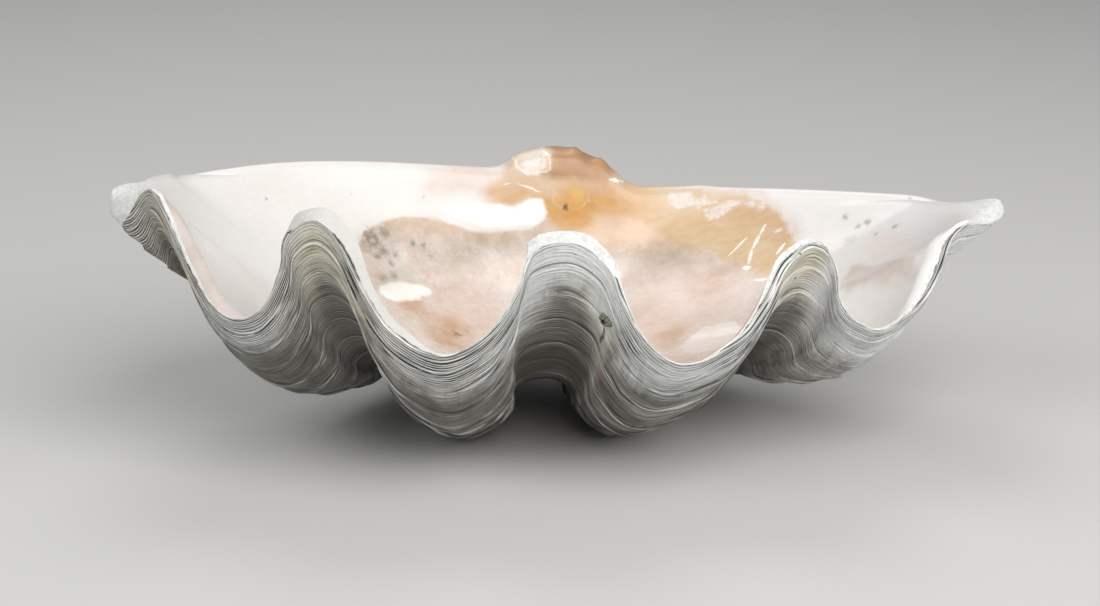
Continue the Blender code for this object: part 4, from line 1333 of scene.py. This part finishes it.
def barnacleShell():  # a small worn cone with a dark hole, grown onto the outside
    away = np.linalg.norm(outerGrid[barnacle["searchFrom"]:] - np.array(barnacle["place"]), axis=-1)
    row, column = np.unravel_index(away.argmin(), away.shape)
    row += barnacle["searchFrom"]
    root = Vector(outerGrid[row, column])
    facing = Vector(np.cross(outerGrid[row, (column + 1) % columns] - outerGrid[row, column - 1],
                             outerGrid[row + 2, column] - outerGrid[row - 2, column])).normalized()
    if facing.y > 0.0:
        facing = -facing
    turned = facing.to_track_quat("Z", "Y").to_matrix()
    rng = np.random.default_rng(barnacle["seed"])
    count, profile = barnacle["sides"], barnacle["profile"]
    ribbed = 1.0 + barnacle["ribHeight"] * np.cos(np.arange(count) * 2.0 * math.pi / count * barnacle["ribs"])
    ribbed = ribbed + rng.normal(0.0, barnacle["ribSpread"], count)
    chipped = rng.normal(0.0, barnacle["chipSpread"], count)
    points, skins = [], []
    for radius, high in profile:
        for k in range(count):
            angle = 2.0 * math.pi * k / count
            wide = radius * ribbed[k] * barnacle["lowerSide" if math.sin(angle) < 0.0 else "upperSide"]
            x, y = wide * math.cos(angle), wide * math.sin(angle)
            points.append(root + turned @ Vector((x, y, high * (1.0 + chipped[k]))))
    points.append(root + turned @ Vector((0.0, 0.0, profile[-1][1])))
    for ring in range(len(profile) - 1):
        for k in range(count):
            a, b = ring * count + k, ring * count + (k + 1) % count
            skins.append((a, b, b + count, a + count))
    last = (len(profile) - 1) * count
    skins += [(last + k, last + (k + 1) % count, len(points) - 1) for k in range(count)]
    skin = bpy.data.meshes.new("barnacle")
    skin.from_pydata([tuple(p) for p in points], [], skins)
    skin.polygons.foreach_set("use_smooth", np.ones(len(skins), dtype=bool))
    depth = [high for _, high in profile for _ in range(count)] + [profile[-1][1]]
    inHole = [float(i >= barnacle["holeFrom"] * count) for i in range(len(points))]
    for name, values in (("height", depth), ("inHole", inHole)):
        skin.attributes.new(name, "FLOAT", "POINT").data.foreach_set("value", values)
    return addPiece("barnacle", skin)


def barnacleMaterial():
    material, tree, shader = newMaterial("barnacleCrust")
    speckle = noise(objectPosition(tree), 700.0, 3.0, 0.6)
    colour = blend(ramp(speckle, 0.35, 0.65), barnacle["dirt"], barnacle["crust"])
    colour = blend(ramp(attribute(tree, "height"), 0.0010, -0.0004, 0.0, 0.6), colour, barnacle["dirt"])
    colour = blend(attribute(tree, "inHole"), colour, barnacle["hole"])
    bump = raised(speckle, barnacle)
    fill(shader, {"Base Color": colour, "Roughness": barnacle["roughness"], "Normal": bump})
    return material


print("making materials")
shellMesh.materials.append(chalkMaterial())
shellMesh.materials.append(porcelainMaterial())
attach(shellValve, "root")
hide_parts("clam_valve")
grownOn = barnacleShell()
grownOn.data.materials.append(barnacleMaterial())
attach(grownOn, "root")

# Floor, lights and camera
studio = {
    "floorSize": 14.0, "floor": rgb(208, 207, 204), "floorRoughness": 0.7,
    "world": rgb(218, 220, 224), "worldStrength": 0.26,
    "lights": (  # place, aim, size, watts, colour
        ((0.7, -2.3, 2.5), (0.0, 0.0, 0.12), 2.8, 80.0, (1.0, 0.985, 0.965)),
        ((2.4, -1.5, 1.2), (0.1, 0.0, 0.14), 1.6, 26.0, (1.0, 1.0, 1.0)),
        ((-2.0, -1.4, 1.9), (0.0, 0.0, 0.12), 2.0, 29.0, (0.97, 0.985, 1.0)),
        ((-0.2, 1.5, 2.4), (0.0, 0.1, 0.1), 1.6, 17.0, (1.0, 1.0, 1.0)),
    ),
}
camera = {
    "target": (-0.0007, 0.0355, 0.1753), "distance": 2.2, "elevation": 15.63, "azimuth": -7.27, "roll": 1.0,
    "lens": 85.0, "sensor": 36.0, "shiftX": -0.0064, "shiftY": -0.080,
}

half = 0.5 * studio["floorSize"]
floorMesh = bpy.data.meshes.new("floor")
floorMesh.from_pydata([(-half, -half, 0), (half, -half, 0), (half, half, 0), (-half, half, 0)], [], [(0, 1, 2, 3)])
floor = addPiece("floor", floorMesh)
floorPaint, _, floorShader = newMaterial("floorPaint")
fill(floorShader, {"Base Color": studio["floor"], "Roughness": studio["floorRoughness"]})
floorMesh.materials.append(floorPaint)

for number, (at, aim, size, watts, tint) in enumerate(studio["lights"]):
    lamp = bpy.data.lights.new("softLight%d" % number, "AREA")
    lamp.shape, lamp.size, lamp.energy, lamp.color = "DISK", size, watts, tint
    light = addPiece("softLight%d" % number, lamp)
    light.location = at
    light.rotation_euler = (Vector(aim) - Vector(at)).to_track_quat("-Z", "Y").to_euler()

world = bpy.data.worlds.new("studioWorld")
world.use_nodes = True
fill(world.node_tree.nodes["Background"], {"Color": studio["world"], "Strength": studio["worldStrength"]})
bpy.context.scene.world = world
bpy.context.scene.view_settings.view_transform = "Standard"

lens = bpy.data.cameras.new("camera")
lens.lens, lens.sensor_width = camera["lens"], camera["sensor"]
lens.shift_x, lens.shift_y = camera["shiftX"], camera["shiftY"]
elevation, azimuth = math.radians(camera["elevation"]), math.radians(camera["azimuth"])
level = math.cos(elevation)
back = Vector((math.sin(azimuth) * level, -math.cos(azimuth) * level, math.sin(elevation)))
turned = back.to_track_quat("Z", "Y").to_matrix() @ Matrix.Rotation(math.radians(camera["roll"]), 3, "Z")
viewer = addPiece("camera", lens)
viewer.matrix_world = Matrix.Translation(Vector(camera["target"]) + back * camera["distance"]) @ turned.to_4x4()
bpy.context.scene.camera = viewer
